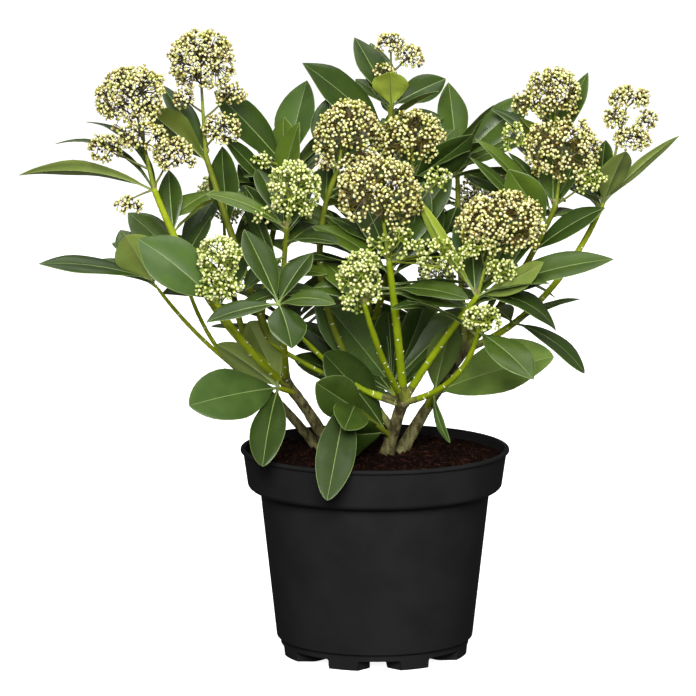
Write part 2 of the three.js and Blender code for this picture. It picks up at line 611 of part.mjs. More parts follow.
// A leaf of the rule is turned on round the stem until it has room
function growAdded(mass, leaf) {
  for (let i = 0; i < RULE.tries; i++) {
    const trial = { ...leaf, bearing: leaf.bearing + RULE.golden * i };
    if (inCrown(trial) && growLeaf(mass, trial)) return;
  }
}

for (const mass of masses) mass.leaves = leavesOf(mass.shoot, mass.curve, mass.random);
for (const mass of masses) {
  for (const leaf of mass.leaves.shown) growLeaf(mass, leaf);
}
for (const mass of masses) {
  for (const leaf of mass.leaves.added) growAdded(mass, leaf);
}
for (const { shoot, bodies } of masses) plant.add(piece(`mass_${shoot.name}`, fused(bodies), 'mass'));

export default plant;
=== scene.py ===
# Potted skimmia in bud: finished pot, compost, bark, leaves and flower heads round the packed solids.
# Metres, +Z up, origin at the middle of the pot's underside, -Y towards the front. Tables are in millimetres.
import math

import bpy
from bpy.props import FloatProperty, FloatVectorProperty, IntProperty, PointerProperty
from bpy.types import Operator, Panel, PropertyGroup
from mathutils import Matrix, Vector, noise
from mathutils.bvhtree import BVHTree


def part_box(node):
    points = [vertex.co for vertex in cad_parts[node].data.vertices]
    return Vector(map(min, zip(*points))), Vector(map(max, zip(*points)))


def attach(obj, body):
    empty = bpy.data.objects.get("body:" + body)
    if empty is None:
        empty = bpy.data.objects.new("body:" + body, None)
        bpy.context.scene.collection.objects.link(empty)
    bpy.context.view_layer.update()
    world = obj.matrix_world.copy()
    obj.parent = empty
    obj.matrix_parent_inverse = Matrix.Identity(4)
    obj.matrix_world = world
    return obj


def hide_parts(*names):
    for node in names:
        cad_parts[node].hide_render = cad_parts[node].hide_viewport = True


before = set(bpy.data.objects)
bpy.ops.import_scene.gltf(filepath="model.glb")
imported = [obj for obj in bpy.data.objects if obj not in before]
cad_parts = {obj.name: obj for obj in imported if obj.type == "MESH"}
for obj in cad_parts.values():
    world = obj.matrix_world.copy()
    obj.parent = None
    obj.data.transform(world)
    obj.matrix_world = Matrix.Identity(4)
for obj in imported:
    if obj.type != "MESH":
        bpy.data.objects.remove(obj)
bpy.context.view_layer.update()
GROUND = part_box("compost")[1].z

bl_info = {
    "name": "Potted skimmia",
    "version": (1, 0, 0),
    "blender": (4, 5, 0),
    "location": "View3D > Sidebar > Skimmia",
    "description": "Builds a potted skimmia in bud round its packed solids",
    "category": "Object",
}

MM = 0.001
BODY = "root"
UP = Vector((0, 0, 1))
FRONT = Vector((0, -1, 0))
DIVERGENCE = 137.5
GOLDEN = math.radians(DIVERGENCE)

# Trunks, in millimetres: foot on the compost, fork above it, diameters at foot and fork
TRUNKS = (
    {"name": "left", "foot": (-30, 12), "fork": (-63, -14, 196), "thick": 9.5, "thin": 8},
    {"name": "left_rear", "foot": (-42, 32), "fork": (-84, 20, 190), "thick": 7.5, "thin": 6.5},
    {"name": "right", "foot": (9, 6), "fork": (20, -18, 183), "thick": 10, "thin": 9},
    {"name": "right_rear", "foot": (20, 20), "fork": (64, 14, 214), "thick": 9.5, "thin": 7},
    {"name": "rear", "foot": (-12, 40), "fork": (-8, 54, 205), "thick": 10, "thin": 8.5},
)
TRUNK_LIFT = 5 * MM
BELOW_GROUND = 14 * MM
ROOT_FLARE = 0.35
FLARE_FADE = 7

# Shoots, in millimetres and degrees. from or on, and at: parent limb and place along it.
# top: upper end of the leafy stem. bow: how far the line's middle is pulled aside.
# thick: diameter at the foot. leafy: length of stem with leaves; a shoot on a limb is leafy all along.
# heads: right, back and up from the top, wide, tall, sprays.
# leaves: place along the leafy stem, bearing, rise, long, wide, droop, turn of the upper face to the front.
# more: leaves that the rule adds.
SHOOTS = (
    {"name": "left_high", "from": "left", "at": 1, "top": (-153, -30, 333),
     "bow": (-10, 0, -26), "thick": 6.4, "leafy": 44, "more": 0,
     "heads": ((-16, -2, 65, 50, 42, 9), (13, -8, 25, 34, 25, 4), (-34, 0, 28, 21, 20, 2),
         (-6, -15, 37, 32, 21, 3), (-18, -4, -11, 18, 13, 2)),
     "leaves": ((0.97, 174, 6, 98, 26, 45, -35), (0.9, 145, 18, 94, 14, 40, 0),
         (0.85, 133, 30, 84, 16, 30, 0), (0.2, 100, 60, 50, 18, 20, 20),
         (0.25, 40, 28, 45, 18, 20, -30))},
    {"name": "left_top", "from": "left", "at": 1, "top": (-119, 15, 352),
     "bow": (-2, 6, -4), "thick": 6, "leafy": 56, "more": 4,
     "heads": ((-4, -5, 68, 47, 44, 9), (18, -5, 43, 20, 15, 2), (12, -10, 19, 25, 22, 2),
         (-15, -10, 40, 14, 14, 1)),
     "leaves": ((0.9, 173, 40, 60, 24, 15, -50), (0.45, 335, -8, 56, 17, 40, 0),
         (0.5, 70, 45, 54, 20, 10, 10), (0.55, 226, -20, 46, 20, 20, 20))},
    {"name": "left_mid", "from": "left", "at": 0.93, "top": (-108, -85, 261),
     "bow": (-4, -4, -8), "thick": 5.6, "leafy": 34, "more": 1,
     "heads": ((2, -3, 31, 32, 35, 6), (2, -10, 12, 28, 18, 3)),
     "leaves": ((0.72, 196, 40, 78, 36, 25, 50), (0.9, 58, 52, 57, 18, -20, 0))},
    {"name": "left_low", "from": "left_rear", "at": 1, "top": (-157, -10, 268),
     "bow": (-4, 0, -10), "thick": 3.4, "leafy": 24, "more": 1,
     "heads": (),
     "leaves": ((0.97, 188, 9, 80, 25, 25, 20), (0.9, 222, 55, 42, 32, 15, -50),
         (0.85, 122, 34, 58, 20, 20, 10), (0.7, 150, 16, 54, 18, 20, 10),
         (0.9, 299, 10, 32, 14, 30, 0))},
    {"name": "left_thin", "from": "left_rear", "at": 0.92, "top": (-137, 10, 277),
     "bow": (-12, 0, -24), "thick": 3.4, "leafy": 28, "more": 2,
     "heads": (),
     "leaves": ((0.95, 157, 40, 54, 24, 15, 20), (0.9, 158, 14, 56, 22, 20, 15),
         (0.9, 36, 53, 42, 20, 10, 10))},
    {"name": "front_left", "from": "left", "at": 1, "top": (-66, -105, 264),
     "bow": (4, -12, -10), "thick": 5, "leafy": 24, "more": 2,
     "heads": (),
     "leaves": ((0.97, 205, -10, 54, 20, 25, 25), (0.97, 287, -38, 42, 27, 35, 0),
         (0.9, 332, 5, 46, 18, 60, -10), (0.97, 51, 41, 48, 22, 20, 0),
         (0.97, 126, 49, 62, 24, 10, 0))},
    {"name": "mid_left", "from": "left", "at": 0.97, "top": (-61, -45, 308),
     "bow": (-6, 8, 0), "thick": 5, "leafy": 44, "more": 4,
     "heads": ((4, -3, 27, 38, 44, 7), (-17, 0, 8, 12, 13, 1)),
     "leaves": ((0.75, 325, 2, 46, 20, 30, 15), (0.45, 139, 40, 60, 22, 10, 10),
         (0.5, 222, -30, 42, 20, 20, 10))},
    {"name": "mid_top", "from": "right", "at": 0.55, "top": (-26, -15, 345),
     "bow": (-58, -10, 8), "thick": 5.4, "leafy": 48, "more": 6,
     "heads": ((6, 0, 24, 46, 52, 9),),
     "leaves": ((0.45, 300, 5, 44, 18, 15, -20),)},
    {"name": "back_left", "from": "left_rear", "at": 1, "top": (-63, 45, 340),
     "bow": (-6, 8, 6), "thick": 5, "leafy": 46, "more": 4,
     "heads": ((-18, -12, 6, 13, 12, 1),),
     "leaves": ((0.92, 178, 39, 80, 26, 25, 38), (0.7, 204, 2, 52, 20, 20, 0),
         (1, 55, 67, 66, 27, 5, 0), (0.92, 250, 65, 42, 20, -10, -60), (0.8, 235, 8, 46, 24, 20, 0))},
    {"name": "top_mid", "from": "rear", "at": 1, "top": (12, 40, 386),
     "bow": (0, 8, 6), "thick": 5.4, "leafy": 46, "more": 5,
     "heads": ((-1, 0, 43, 19, 14, 2), (13, 0, 33, 18, 17, 2), (-5, 5, 22, 16, 12, 1)),
     "leaves": ((0.95, 267, 39, 44, 26, 15, 0), (0.97, 134, 51, 60, 23, 10, 15),
         (0.97, 23, 23, 46, 22, 20, 50), (0.9, 178, 21, 70, 26, 25, 38))},
    {"name": "mid_right", "from": "rear", "at": 0.96, "top": (26, 10, 341),
     "bow": (6, -6, 8), "thick": 5.4, "leafy": 44, "more": 5,
     "heads": ((0, -2, 25, 51, 38, 8),),
     "leaves": ((0.8, 164, 45, 52, 20, 10, 10), (0.8, 344, 29, 50, 24, 15, 10))},
    {"name": "right_back", "from": "right_rear", "at": 1, "top": (59, 55, 345),
     "bow": (-2, 8, 6), "thick": 5, "leafy": 46, "more": 4,
     "heads": (),
     "leaves": ((1, 102, 62, 60, 27, 5, 0), (0.97, 6, 41, 72, 27, 15, 55),
         (0.84, 346, 24, 58, 22, 20, 30), (0.9, 290, 27, 46, 20, 30, 10),
         (0.8, 325, -17, 50, 22, 30, 20))},
    {"name": "front_mid", "from": "right", "at": 1, "top": (9, -65, 287),
     "bow": (2, -8, -6), "thick": 6.6, "leafy": 34, "more": 4,
     "heads": ((-8, -5, 49, 61, 49, 11), (4, -15, 15, 42, 22, 4), (33, -15, 5, 37, 28, 5),
         (34, 15, 54, 18, 21, 2)),
     "leaves": ((0.4, 324, -2, 64, 22, 25, 20), (0.3, 340, -8, 54, 20, 25, 25),
         (0.3, 154, -15, 52, 22, 25, 20))},
    {"name": "front_low", "from": "right", "at": 1, "top": (-8, -95, 262),
     "bow": (-2, -8, -8), "thick": 5, "leafy": 26, "more": 4,
     "heads": ((-3, -3, 17, 31, 44, 7),),
     "leaves": ((0.5, 200, -30, 46, 22, 25, 10),)},
    {"name": "right_mid", "from": "right", "at": 1, "top": (70, -60, 263),
     "bow": (-4, -4, 0), "thick": 5.6, "leafy": 28, "more": 4,
     "heads": ((15, -2, 51, 64, 42, 11), (1, -15, 34, 23, 17, 2), (16, -15, 19, 20, 17, 2)),
     "leaves": ((0.97, 3, 15, 98, 27, 25, 30), (0.97, 180, 59, 80, 13, -10, -30),
         (0.9, 20, -25, 70, 23, 30, 25), (0.9, 332, 14, 58, 18, 30, 10),
         (0.7, 196, -1, 58, 20, 25, 20))},
    {"name": "right_front", "from": "right", "at": 0.97, "top": (70, -82, 243),
     "bow": (18, -6, -16), "thick": 4.6, "leafy": 24, "more": 2,
     "heads": ((2, -8, 8, 25, 18, 3),),
     "leaves": ((0.9, 310, -25, 62, 28, 25, 15),)},
    {"name": "right_high", "from": "right_rear", "at": 1, "top": (126, -12, 320),
     "bow": (4, -6, -10), "thick": 5.4, "leafy": 48, "more": 4,
     "heads": ((5, 0, 38, 56, 44, 10), (23, -13, 18, 20, 18, 2), (-30, 2, 47, 15, 21, 2)),
     "leaves": ((0.8, 235, 33, 52, 27, 10, 0), (0.2, 350, 28, 66, 23, 25, 25),
         (0.8, 41, 2, 42, 18, 20, 0))},
    {"name": "right_top", "from": "right_rear", "at": 0.95, "top": (128, 35, 354),
     "bow": (6, 10, -12), "thick": 5.2, "leafy": 50, "more": 5,
     "heads": ((-1, -3, 41, 39, 38, 7), (-20, -7, 33, 21, 18, 2)),
     "leaves": ((1, 42, 59, 62, 22, 10, 0), (0.9, 216, 44, 42, 16, 0, -30))},
    {"name": "far_right", "from": "right_rear", "at": 1, "top": (160, 8, 319),
     "bow": (14, 0, -28), "thick": 5, "leafy": 22, "more": 4,
     "heads": ((18, 0, 74, 28, 15, 3), (8, -3, 60, 15, 15, 1), (30, 0, 58, 14, 14, 1),
         (20, -3, 45, 24, 17, 2)),
     "leaves": ((0.97, 2, 42, 72, 17, 20, -10), (0.97, 290, 47, 56, 22, 15, 0),
         (0.9, 231, 23, 38, 16, 20, 10))},
    {"name": "right_low", "on": "far_right", "at": 0.3, "top": (98, -4, 236),
     "thick": 3.4, "more": 2,
     "heads": (),
     "leaves": ((0.97, 350, -38, 68, 23, 45, 30), (0.97, 7, 19, 50, 13, 30, 10))},
    {"name": "right_foot", "on": "right_rear", "at": 0.5, "top": (42, -6, 187),
     "thick": 3.6, "more": 1,
     "heads": (),
     "leaves": ((0.97, 338, 19, 94, 36, 20, 55), (0.9, 290, -44, 44, 8, 40, 60),
         (0.97, 294, 62, 58, 26, 10, 0))},
    {"name": "left_foot", "on": "left", "at": 0.86, "top": (-68, -30, 194),
     "thick": 4, "more": 0,
     "heads": (),
     "leaves": ((0.97, 220, -3, 79, 40, 25, 55), (0.97, 260, -39, 73, 25, 30, 0),
         (0.9, 167, 33, 54, 24, 20, -20))},
    {"name": "low_front", "on": "right", "at": 0.45, "top": (-34, -55, 205),
     "bow": (4, -4, -6), "thick": 3.8, "more": 0,
     "heads": (),
     "leaves": ((1, 272, -50, 100, 31, 35, 0), (0.98, 336, -24, 52, 32, 30, 35),
         (0.95, 298, -17, 66, 26, 30, 25), (0.88, 20, -42, 58, 30, 25, 30),
         (0.5, 230, 18, 52, 24, 25, 50))},
    {"name": "mid_foot", "on": "right", "at": 0.82, "top": (11, 14, 190),
     "bow": (0, 4, 0), "thick": 4, "more": 2,
     "heads": (),
     "leaves": ((1, 190, 51, 84, 38, 10, 70), (0.97, 19, 42, 72, 32, 15, 60),
         (0.9, 62, 20, 62, 26, 20, 30))},
    {"name": "rear_left", "from": "left_rear", "at": 0.95, "top": (-108, 86, 278),
     "bow": (-4, 10, -12), "thick": 5.2, "leafy": 44, "more": 9,
     "heads": ((-2, 4, 34, 48, 38, 8),),
     "leaves": ()},
    {"name": "rear_mid", "from": "rear", "at": 0.97, "top": (-12, 112, 290),
     "bow": (0, 12, -10), "thick": 5.6, "leafy": 44, "more": 9,
     "heads": ((0, 4, 36, 54, 42, 9),),
     "leaves": ()},
    {"name": "rear_right", "from": "right_rear", "at": 0.85, "top": (84, 96, 280),
     "bow": (4, 12, -10), "thick": 5.4, "leafy": 44, "more": 9,
     "heads": ((2, 4, 34, 50, 40, 8),),
     "leaves": ()},
    {"name": "rear_low_left", "from": "rear", "at": 0.86, "top": (-62, 112, 222),
     "bow": (-6, 8, -8), "thick": 4.2, "leafy": 30, "more": 9,
     "heads": (),
     "leaves": ()},
    {"name": "rear_low_right", "from": "rear", "at": 0.8, "top": (46, 124, 226),
     "bow": (6, 8, -8), "thick": 4.4, "leafy": 30, "more": 9,
     "heads": ((0, 6, 22, 32, 36, 5),),
     "leaves": ()},
)
BOUGH_TAPER = 0.82
STEM_TAPER = 0.8

# Thin bare twigs behind the front whorl, in the numbers of the shoots
TWIGS = (
    {"name": "twig_low", "from": "right", "at": 1, "top": (-76, -20, 226), "bow": (4, 4, -14), "thick": 4,
     "leafy": 10, "heads": ()},
    {"name": "twig_high", "from": "right", "at": 0.95, "top": (-54, -28, 233), "bow": (4, 4, -22), "thick": 4,
     "leafy": 10, "heads": ()},
)

# Shoots whose heads have reddish brown stalks; the others are green
BLUSHED = {"left_high", "left_top", "mid_top", "top_mid", "mid_right", "front_mid", "right_high", "right_top",
           "right_mid", "far_right", "rear_mid", "rear_right"}
# Those of them whose side heads are green, with the share of clusters, and those whose stalks are still olive
GREEN_SIDES = {"front_mid": 0.48, "right_mid": 0.7, "right_high": 0.7}
OLIVE = {"left_high", "left_top", "top_mid", "far_right"}
# Shoots with denser heads
DENSE = {"left_high": 1.35, "left_top": 1.35, "far_right": 1.35, "top_mid": 1.25, "right_mid": 1.3,
         "right_top": 1.15}

# Shoots whose stems are olive and darker, a painted shade
SHADED = {"left_top", "mid_left", "mid_top", "back_left", "top_mid", "mid_right", "right_back", "right_high",
          "right_top", "low_front", "rear_left", "rear_mid", "rear_right"}

# Shoots and bare twigs in the middle of the crown whose stems are a deeper green and darker, a painted shade
INNER_SHADE = {"front_mid", "front_low", "right_mid", "right_front", "twig_low", "twig_high"}

# Shoots by the side of the crown that they fill
SIDES = ("left", "middle", "right", "rear")
MIDDLE_SHOOTS = {"front_left", "mid_left", "mid_top", "top_mid", "mid_right", "front_mid", "front_low",
                 "low_front", "mid_foot", "back_left"}

# Leaves that the growing rule adds, in millimetres and degrees
RULE = {"long": 78, "long_spread": 0.3, "wide_share": 0.34, "low_place": 0.25, "place_span": 0.7,
        "low_rise": -28, "high_rise": 48, "rise_spread": 16, "droop": 26, "droop_spread": 20,
        "roll_spread": 24, "tries": 5}
# Seeds of the draws for the rule, for the looks and for the further leaves, and their steps
RULE_SEED = 1000
RULE_SEED_STEP = 77
LOOK_SEED = 5000
LOOK_SEED_STEP = 131
FILL_SEED = 9000
FILL_SEED_STEP = 57
FILL_PLACE_STEPS = 10000
FILL_PLACE_SEEDS = 977
# Further leaves that fill out a mass on finer twigs, in its own reach and clear of the packed solids
FILL = {"mid_left": 8, "mid_top": 12, "back_left": 5, "top_mid": 6,
        "mid_right": 12, "right_back": 6, "front_mid": 8, "right_mid": 4, "right_high": 4,
        "right_top": 5, "far_right": 1, "mid_foot": 3, "rear_left": 8, "rear_mid": 8, "rear_right": 8,
        "rear_low_left": 6, "rear_low_right": 6}
FILL_TRIES = 20
FILL_CLEAR = 2 * MM
FILL_APART = 7 * MM
FILL_LONG = (0.55, 1)
FILL_PLACE = (0.1, 0.95)
FILL_RISE_SPREAD = 24
FILL_DROOP = (5, 40)
FILL_TURN = (0, 55)
REAR_TURN_SPREAD = 45
# Every other further leaf of a front shoot with a head stands behind that head
RUFF_PLACE = (0.78, 0.97)
RUFF_BEARING = (15, 165)
RUFF_RISE = (25, 66)
# Leaves on finer twigs near the foot and behind heads: the numbers of the table, and the upper finish
# where it isn't the deep one, whose dark green is painted shade; the bluish finishes here are painted sheen
EXTRA = {
    "low_front": ((0.45, 236, 27, 67, 30, 12, 110, "top_mid"), (0.1, 209, 50, 78, 42, 20, 65),
                  (0.6, 263, -7, 59, 26, 30, 25, "top_mid"), (0.12, 207, 2, 39, 34, 15, 120),
                  (0.72, 260, -38, 96, 27, 30, 15, "top_dusk")),
    "left_foot": ((0.9, 128, 50, 56, 34, 10, -115, "top_mid"),),
    "left_top": ((0.95, 138, 48, 68, 22, 15, 10), (0.02, 109, 73, 60, 28, 12, 55)),
    "back_left": ((0.05, 205, 49, 40, 22, 10, 75), (0.3, 174, 51, 44, 22, 12, 115),
                  (0.92, 95, 79, 40, 24, 10, 45, "top_fresh"), (0.5, 319, 71, 60, 24, 12, 90, "top_fresh"),
                  (1, 192, 47, 76, 29, 15, 60), (0.5, 204, 47, 65, 16, 15, 60),
                  (0.7, 177, 45, 34, 24, 15, 135)),
    "top_mid": ((0.5, 195, 40, 82, 34, 15, 55),),
    "left_mid": ((1, 175, 39, 70, 42, 25, 45, "top_old"),),
    "left_high": ((0.9, 162, 24, 89, 14, 80, 0), (0.85, 154, 42, 82, 16, 80, -5)),
    "mid_left": ((0.85, 68, 51, 56, 24, 15, 0), (0.9, 120, 21, 72, 24, 15, 90),
                 (0.92, 110, 31, 73, 26, 15, -15), (0.1, 142, 61, 71, 19, 12, 105),
                 (0.97, 176, 23, 63, 15, 45, 30, "top_fresh")),
    "mid_top": ((0.9, 95, 42, 75, 30, 15, 0), (0.85, 69, 37, 77, 30, 15, 0)),
    "mid_right": ((0.9, 103, 45, 64, 30, 15, 0), (0.85, 70, 44, 64, 30, 15, 0, "top_mid"),
                  (0.85, 345, 37, 56, 32, 12, 135)),
    "front_mid": ((0.9, 120, 48, 68, 28, 15, 0), (0.8, 54, 55, 71, 32, 15, 20),
                  (0.9, 77, 52, 65, 28, 10, 0), (0.8, 59, 35, 83, 32, 10, 40),
                  (0.9, 50, 40, 89, 30, 15, 10)),
    "right_mid": ((0.9, 96, 57, 71, 28, 15, 0), (0.85, 68, 52, 83, 30, 15, 0, "top_mid"),
                  (0.8, 42, 48, 85, 28, 15, 20, "top_mid"), (0.97, 5, -24, 65, 24, 80, 30),
                  (0.97, 330, 28, 58, 22, 15, -130, "top_fresh")),
    "right_high": ((0.9, 89, 53, 70, 28, 15, 0, "top_mid"), (0.85, 60, 47, 73, 28, 15, 0, "top_mid"),
                   (0.7, 174, 49, 79, 20, 30, 22, "top_fresh"), (0.45, 187, 49, 77, 20, 30, 30, "top_mid"),
                   (0.7, 204, 52, 50, 28, 12, 125, "top_fresh"), (0.2, 352, 33, 61, 21, 30, 45)),
    "right_low": ((0.97, 352, -35, 62, 24, 45, 20),),
    "far_right": ((0.9, 80, 63, 50, 24, 15, -40),),
    "mid_foot": ((0.6, 156, 32, 90, 32, 12, 25), (0.6, 142, 40, 77, 30, 12, 15),
                 (0.4, 160, 20, 82, 32, 12, 30), (0.9, 95, 60, 57, 30, 10, -25),
                 (0.97, 26, 65, 66, 38, 15, 110)),
    "right_back": ((0.3, 246, -43, 28, 24, 15, -5),),
}
# Places in a shoot's list of rule leaves that stay bare, before a head, a stem or open sky
SKIPPED = {"mid_left": (2, 3), "front_low": (0, 1, 2), "right_mid": (0, 3), "front_left": (0,),
           "left_low": (0,), "left_thin": (0,), "rear_left": (0, 4), "mid_top": (4, 5), "left_top": (1, 2),
           "right_front": (0,), "right_high": (2,), "mid_right": (2, 3)}
# Further leaves left out where the sky or a leaf behind shows
OPEN = {"mid_top": (0, 6), "back_left": (0,), "rear_left": (3, 4)}
# Leaves of the table that other leaves stand for here
COVERED = {"low_front": (0, 1, 2, 3, 4), "front_low": (0,), "right_low": (0,), "right_high": (0, 1),
           "back_left": (0, 3), "top_mid": (3,), "left_high": (1, 2), "left_mid": (0,), "right_mid": (2,),
           "left_top": (2,), "mid_left": (1,)}
# Leaves of the table by place: finish of the upper face and of the underside, further roll, share of width.
# Among these finishes are painted shade, painted sheen and painted light on single leaves
LOOKS = {
    "top_mid": {0: ("top_fresh", "under_light", 0, 1), 1: ("top_deep", "under_dull", 0, 1)},
    "left_top": {0: ("top_mid", "under_olive", 0, 1.3), 1: ("top_fresh", "under_mid", 25, 1)},
    "left_high": {0: ("top_mid", "under_pale", 0, 0.85), 4: ("top_fresh", "under_fresh", 0, 1)},
    "far_right": {0: ("top_deep", "under_pale", -38, 0.8), 1: ("top_deep", "under_mid", 0, 1.1)},
    "right_foot": {0: ("top_pale", "under_mid", 0, 1.2), 2: ("top_deep", "under_dull", 0, 1)},
    "right_mid": {0: ("top_mid", "under_mid", 0, 1), 1: ("top_fresh", "under_fresh", -18, 1.1)},
    "right_front": {0: ("top_mid", "under_mid", 0, 1)},
    "right_back": {0: ("top_mid", "under_mid", 0, 0.85)},
    "left_foot": {2: ("top_old", "under_pale", -40, 1.1)},
    "back_left": {2: ("top_old", "under_dull", 0, 1.25)},
    "front_left": {0: ("top_deep", "under_dull", 0, 1), 1: ("top_deep", "under_dull", 0, 1),
                   2: ("top_mid", "under_mid", 40, 1), 3: ("top_deep", "under_dull", 0, 1),
                   4: ("top_deep", "under_dull", 0, 1)},
    "left_thin": {0: ("top_mid", "under_mid", 0, 1.3), 1: ("top_mid", "under_mid", 0, 1.3)},
    "left_low": {2: ("top_mid", "under_mid", 0, 1.3), 3: ("top_mid", "under_mid", 0, 1.3),
                 4: ("top_fresh", "under_fresh", 0, 1)},
}
# Numbers in a row of the table of leaves, and the turn past which a further leaf shows its underside
LEAF_NUMBERS = 7
TURNED_OVER = -90
SHOWN_STATION = 0.7
ADDED_STATION = 0.52
STATION_REACH = 1.1 * MM
TIP_REACH = 0.5 * MM

# Leaf shape: places of its cross sections along it, then its fold, curl, wave and twist, its outline,
# stalk, midrib and margin, and the corners and faces of a row
LEAF_PLACES = (0, 0.03, 0.07, 0.11, 0.16, 0.22, 0.29, 0.37, 0.45, 0.53, 0.61, 0.69, 0.77, 0.84, 0.9, 0.945,
               0.975, 0.99, 1)
LEAF_FOLD = 0.3
LEAF_CURL = 0.16
LEAF_HALF = 0.55
LEAF_WAVE = (0.02, 0.07)
WAVE_TURN = 13
CURL_SPREAD = (0.7, 1.3)
FOLD_SPREAD = (0.7, 1.2)
LEAF_TWIST = 14
TWIST_PIVOT = 0.3
BLUNT_POWER, BLUNT_FULLNESS = 1.3, 0.62
POINTED_POWER, POINTED_FULLNESS = 1.12, 0.86
PETIOLE_SHARE = 0.07
PETIOLE_HALF = 1.1 * MM
PETIOLE_THICK = 1.1 * MM
PETIOLE_FADE = 0.05
TIP_HALF = 0.15 * MM
RIB_HALF = 0.5 * MM
RIB_FADE = 0.72
RIB_MOST = 0.4
RIB_RIDGE = 0.7 * MM
RIB_GROOVE = 0.22 * MM
MARGIN = 0.42 * MM
MARGIN_MOST = 0.3
LOW_LEAF = 0.225
UPPER_CORNERS = 9
LOWER_CORNERS = 7
ROW_CORNERS = UPPER_CORNERS + LOWER_CORNERS
RIB_FACES = (3, 4)
EDGE_FACES = (0, 7)

# Flower heads: shares of their height and reach
HEAD_LOW = 1.66
HEAD_BETWEEN = 0.62
HEAD_HOLLOW = 0.76
HEAD_FOOT = 1.3
HEAD_SKIRT = 1.5
HEAD_TIP = 0.4
HEAD_INSET = 0.8
HEAD_SWELLS = (0.94, 1.14)
FEW_SPRAYS = 3
FEW_REACH = 1.15
SIDE_SHARE = 0.8
SIDE_PULL = 0.2
# Their axes and sprays
AXIS_SHARE = 0.85
AXIS_SIDES = 7
AXIS_STEPS = 10
AXIS_GREEN = 0.5
AXIS_TIP = 0.5 * MM
SIDE_STALK = 0.9 * MM
SPRAY_LIFT = math.radians(38)
SPRAY_DEPTH = 0.55
SPRAY_STALK = 0.75 * MM
SPRAY_SIDES = 5
SPRAY_ARCH = 0.8 * MM
# Their clusters of buds
CLUSTER_AREA = 56 * MM * MM
CLUSTER_CONE = math.radians(88)
CLUSTER_DEPTH = (0.84, 1)
CLUSTER_LEAN = 0.22
CLUSTER_STALK = 0.5 * MM
CLUSTER_SIDES = 4
FEWEST_CLUSTERS = 3
GAP_CHANCE = 0.45
GAP_SWELL = 0.15
PEDICEL = 0.31 * MM
PEDICEL_LENGTHS = (0.75, 1.1)
FEWEST_BUDS = 4
MORE_BUDS = 4
FIRST_BUD = 0.3
BUD_LEAN_SPREAD = 0.2
BUD_TURN_SPREAD = 0.4
BUD_SIZES = (0.78, 1.08)
BUD_SINK = 0.8
BUD_TALL = 1.12
BUD_CORNERS = 6
BUD_RINGS = ((-0.55, 0.8), (0.35, 0.96))

# Angles past which an edge stays crisp, by piece
CRISP = {"pot": 32, "compost": 40, "bark": 70, "leaves": 75, "buds": 120, "stalks": 70}


class Draws:
    """Seeded run of numbers from 0 to 1, the same each time."""

    FACTOR = 1664525
    SHIFT = 1013904223
    RANGE = 2 ** 32

    def __init__(self, seed):
        self.state = seed

    def next(self):
        self.state = (self.state * self.FACTOR + self.SHIFT) % self.RANGE
        return self.state / self.RANGE

    def spread(self, amount):
        return amount * (2 * self.next() - 1)

    def between(self, low, high):
        return low + (high - low) * self.next()

    def pick(self, items):
        return items[int(self.next() * len(items)) % len(items)]


class Bow:
    """Curve from a start to an end, pulled towards a third point and read by its share of length."""

    DIVISIONS = 200

    def __init__(self, start, pull, end):
        self.points = (start, pull, end)
        self.lengths = [0.0]
        last = start
        for i in range(1, self.DIVISIONS + 1):
            point = self.bezier(i / self.DIVISIONS)
            self.lengths.append(self.lengths[-1] + (point - last).length)
            last = point
        self.length = self.lengths[-1]

    def bezier(self, t):
        start, pull, end = self.points
        return start * (1 - t) ** 2 + pull * (2 * t * (1 - t)) + end * t ** 2

    def at(self, share):
        wanted = min(max(share, 0), 1) * self.length
        low, high = 0, self.DIVISIONS
        while high - low > 1:
            middle = (low + high) // 2
            if self.lengths[middle] > wanted:
                high = middle
            else:
                low = middle
        step = self.lengths[high] - self.lengths[low]
        return self.bezier((low + (wanted - self.lengths[low]) / step) / self.DIVISIONS)


class Gathered:
    """Corners and faces of many shapes, joined into one mesh with a finish for each face."""

    def __init__(self, finishes):
        self.finishes = list(finishes)
        self.corners = []
        self.faces = []
        self.marks = []

    def add(self, corners, faces, marks):
        first = len(self.corners)
        self.corners.extend(corners)
        self.faces.extend([first + i for i in face] for face in faces)
        if isinstance(marks, str):
            marks = [marks] * len(faces)
        self.marks.extend(self.finishes.index(mark) for mark in marks)

    def piece(self, name, materials, smooth_angle=60):
        mesh = bpy.data.meshes.new(name)
        mesh.from_pydata(self.corners, [], self.faces)
        for finish in self.finishes:
            mesh.materials.append(materials[finish])
        mesh.polygons.foreach_set("material_index", self.marks)
        mesh.update()
        piece = bpy.data.objects.new(name, mesh)
        bpy.context.collection.objects.link(piece)
        smooth(piece, smooth_angle)
        return piece


def smooth(piece, angle):
    """Smooth shading, with edges sharper than the angle kept crisp."""
    bpy.ops.object.select_all(action="DESELECT")
    piece.select_set(True)
    bpy.context.view_layer.objects.active = piece
    bpy.ops.object.shade_smooth_by_angle(angle=math.radians(angle))


def seat(piece, slot, *nodes):
    """A finished piece rides on the plant's one body and stands for nodes of the frame; the slot is not used.
    """
    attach(piece, BODY)
    if nodes:
        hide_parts(*nodes)


def smoothstep(value, low, high):
    share = min(max((value - low) / (high - low), 0), 1)
    return share * share * (3 - 2 * share)


def side_frames(points):
    """Two sideways directions at each point of a line, carried along it without twisting."""
    last = len(points) - 1
    ahead = [(points[min(i + 1, last)] - points[max(i - 1, 0)]).normalized() for i in range(last + 1)]
    side = ahead[0].orthogonal().normalized()
    frames = []
    for direction in ahead:
        side = (side - direction * side.dot(direction)).normalized()
        frames.append((side, direction.cross(side)))
    return frames


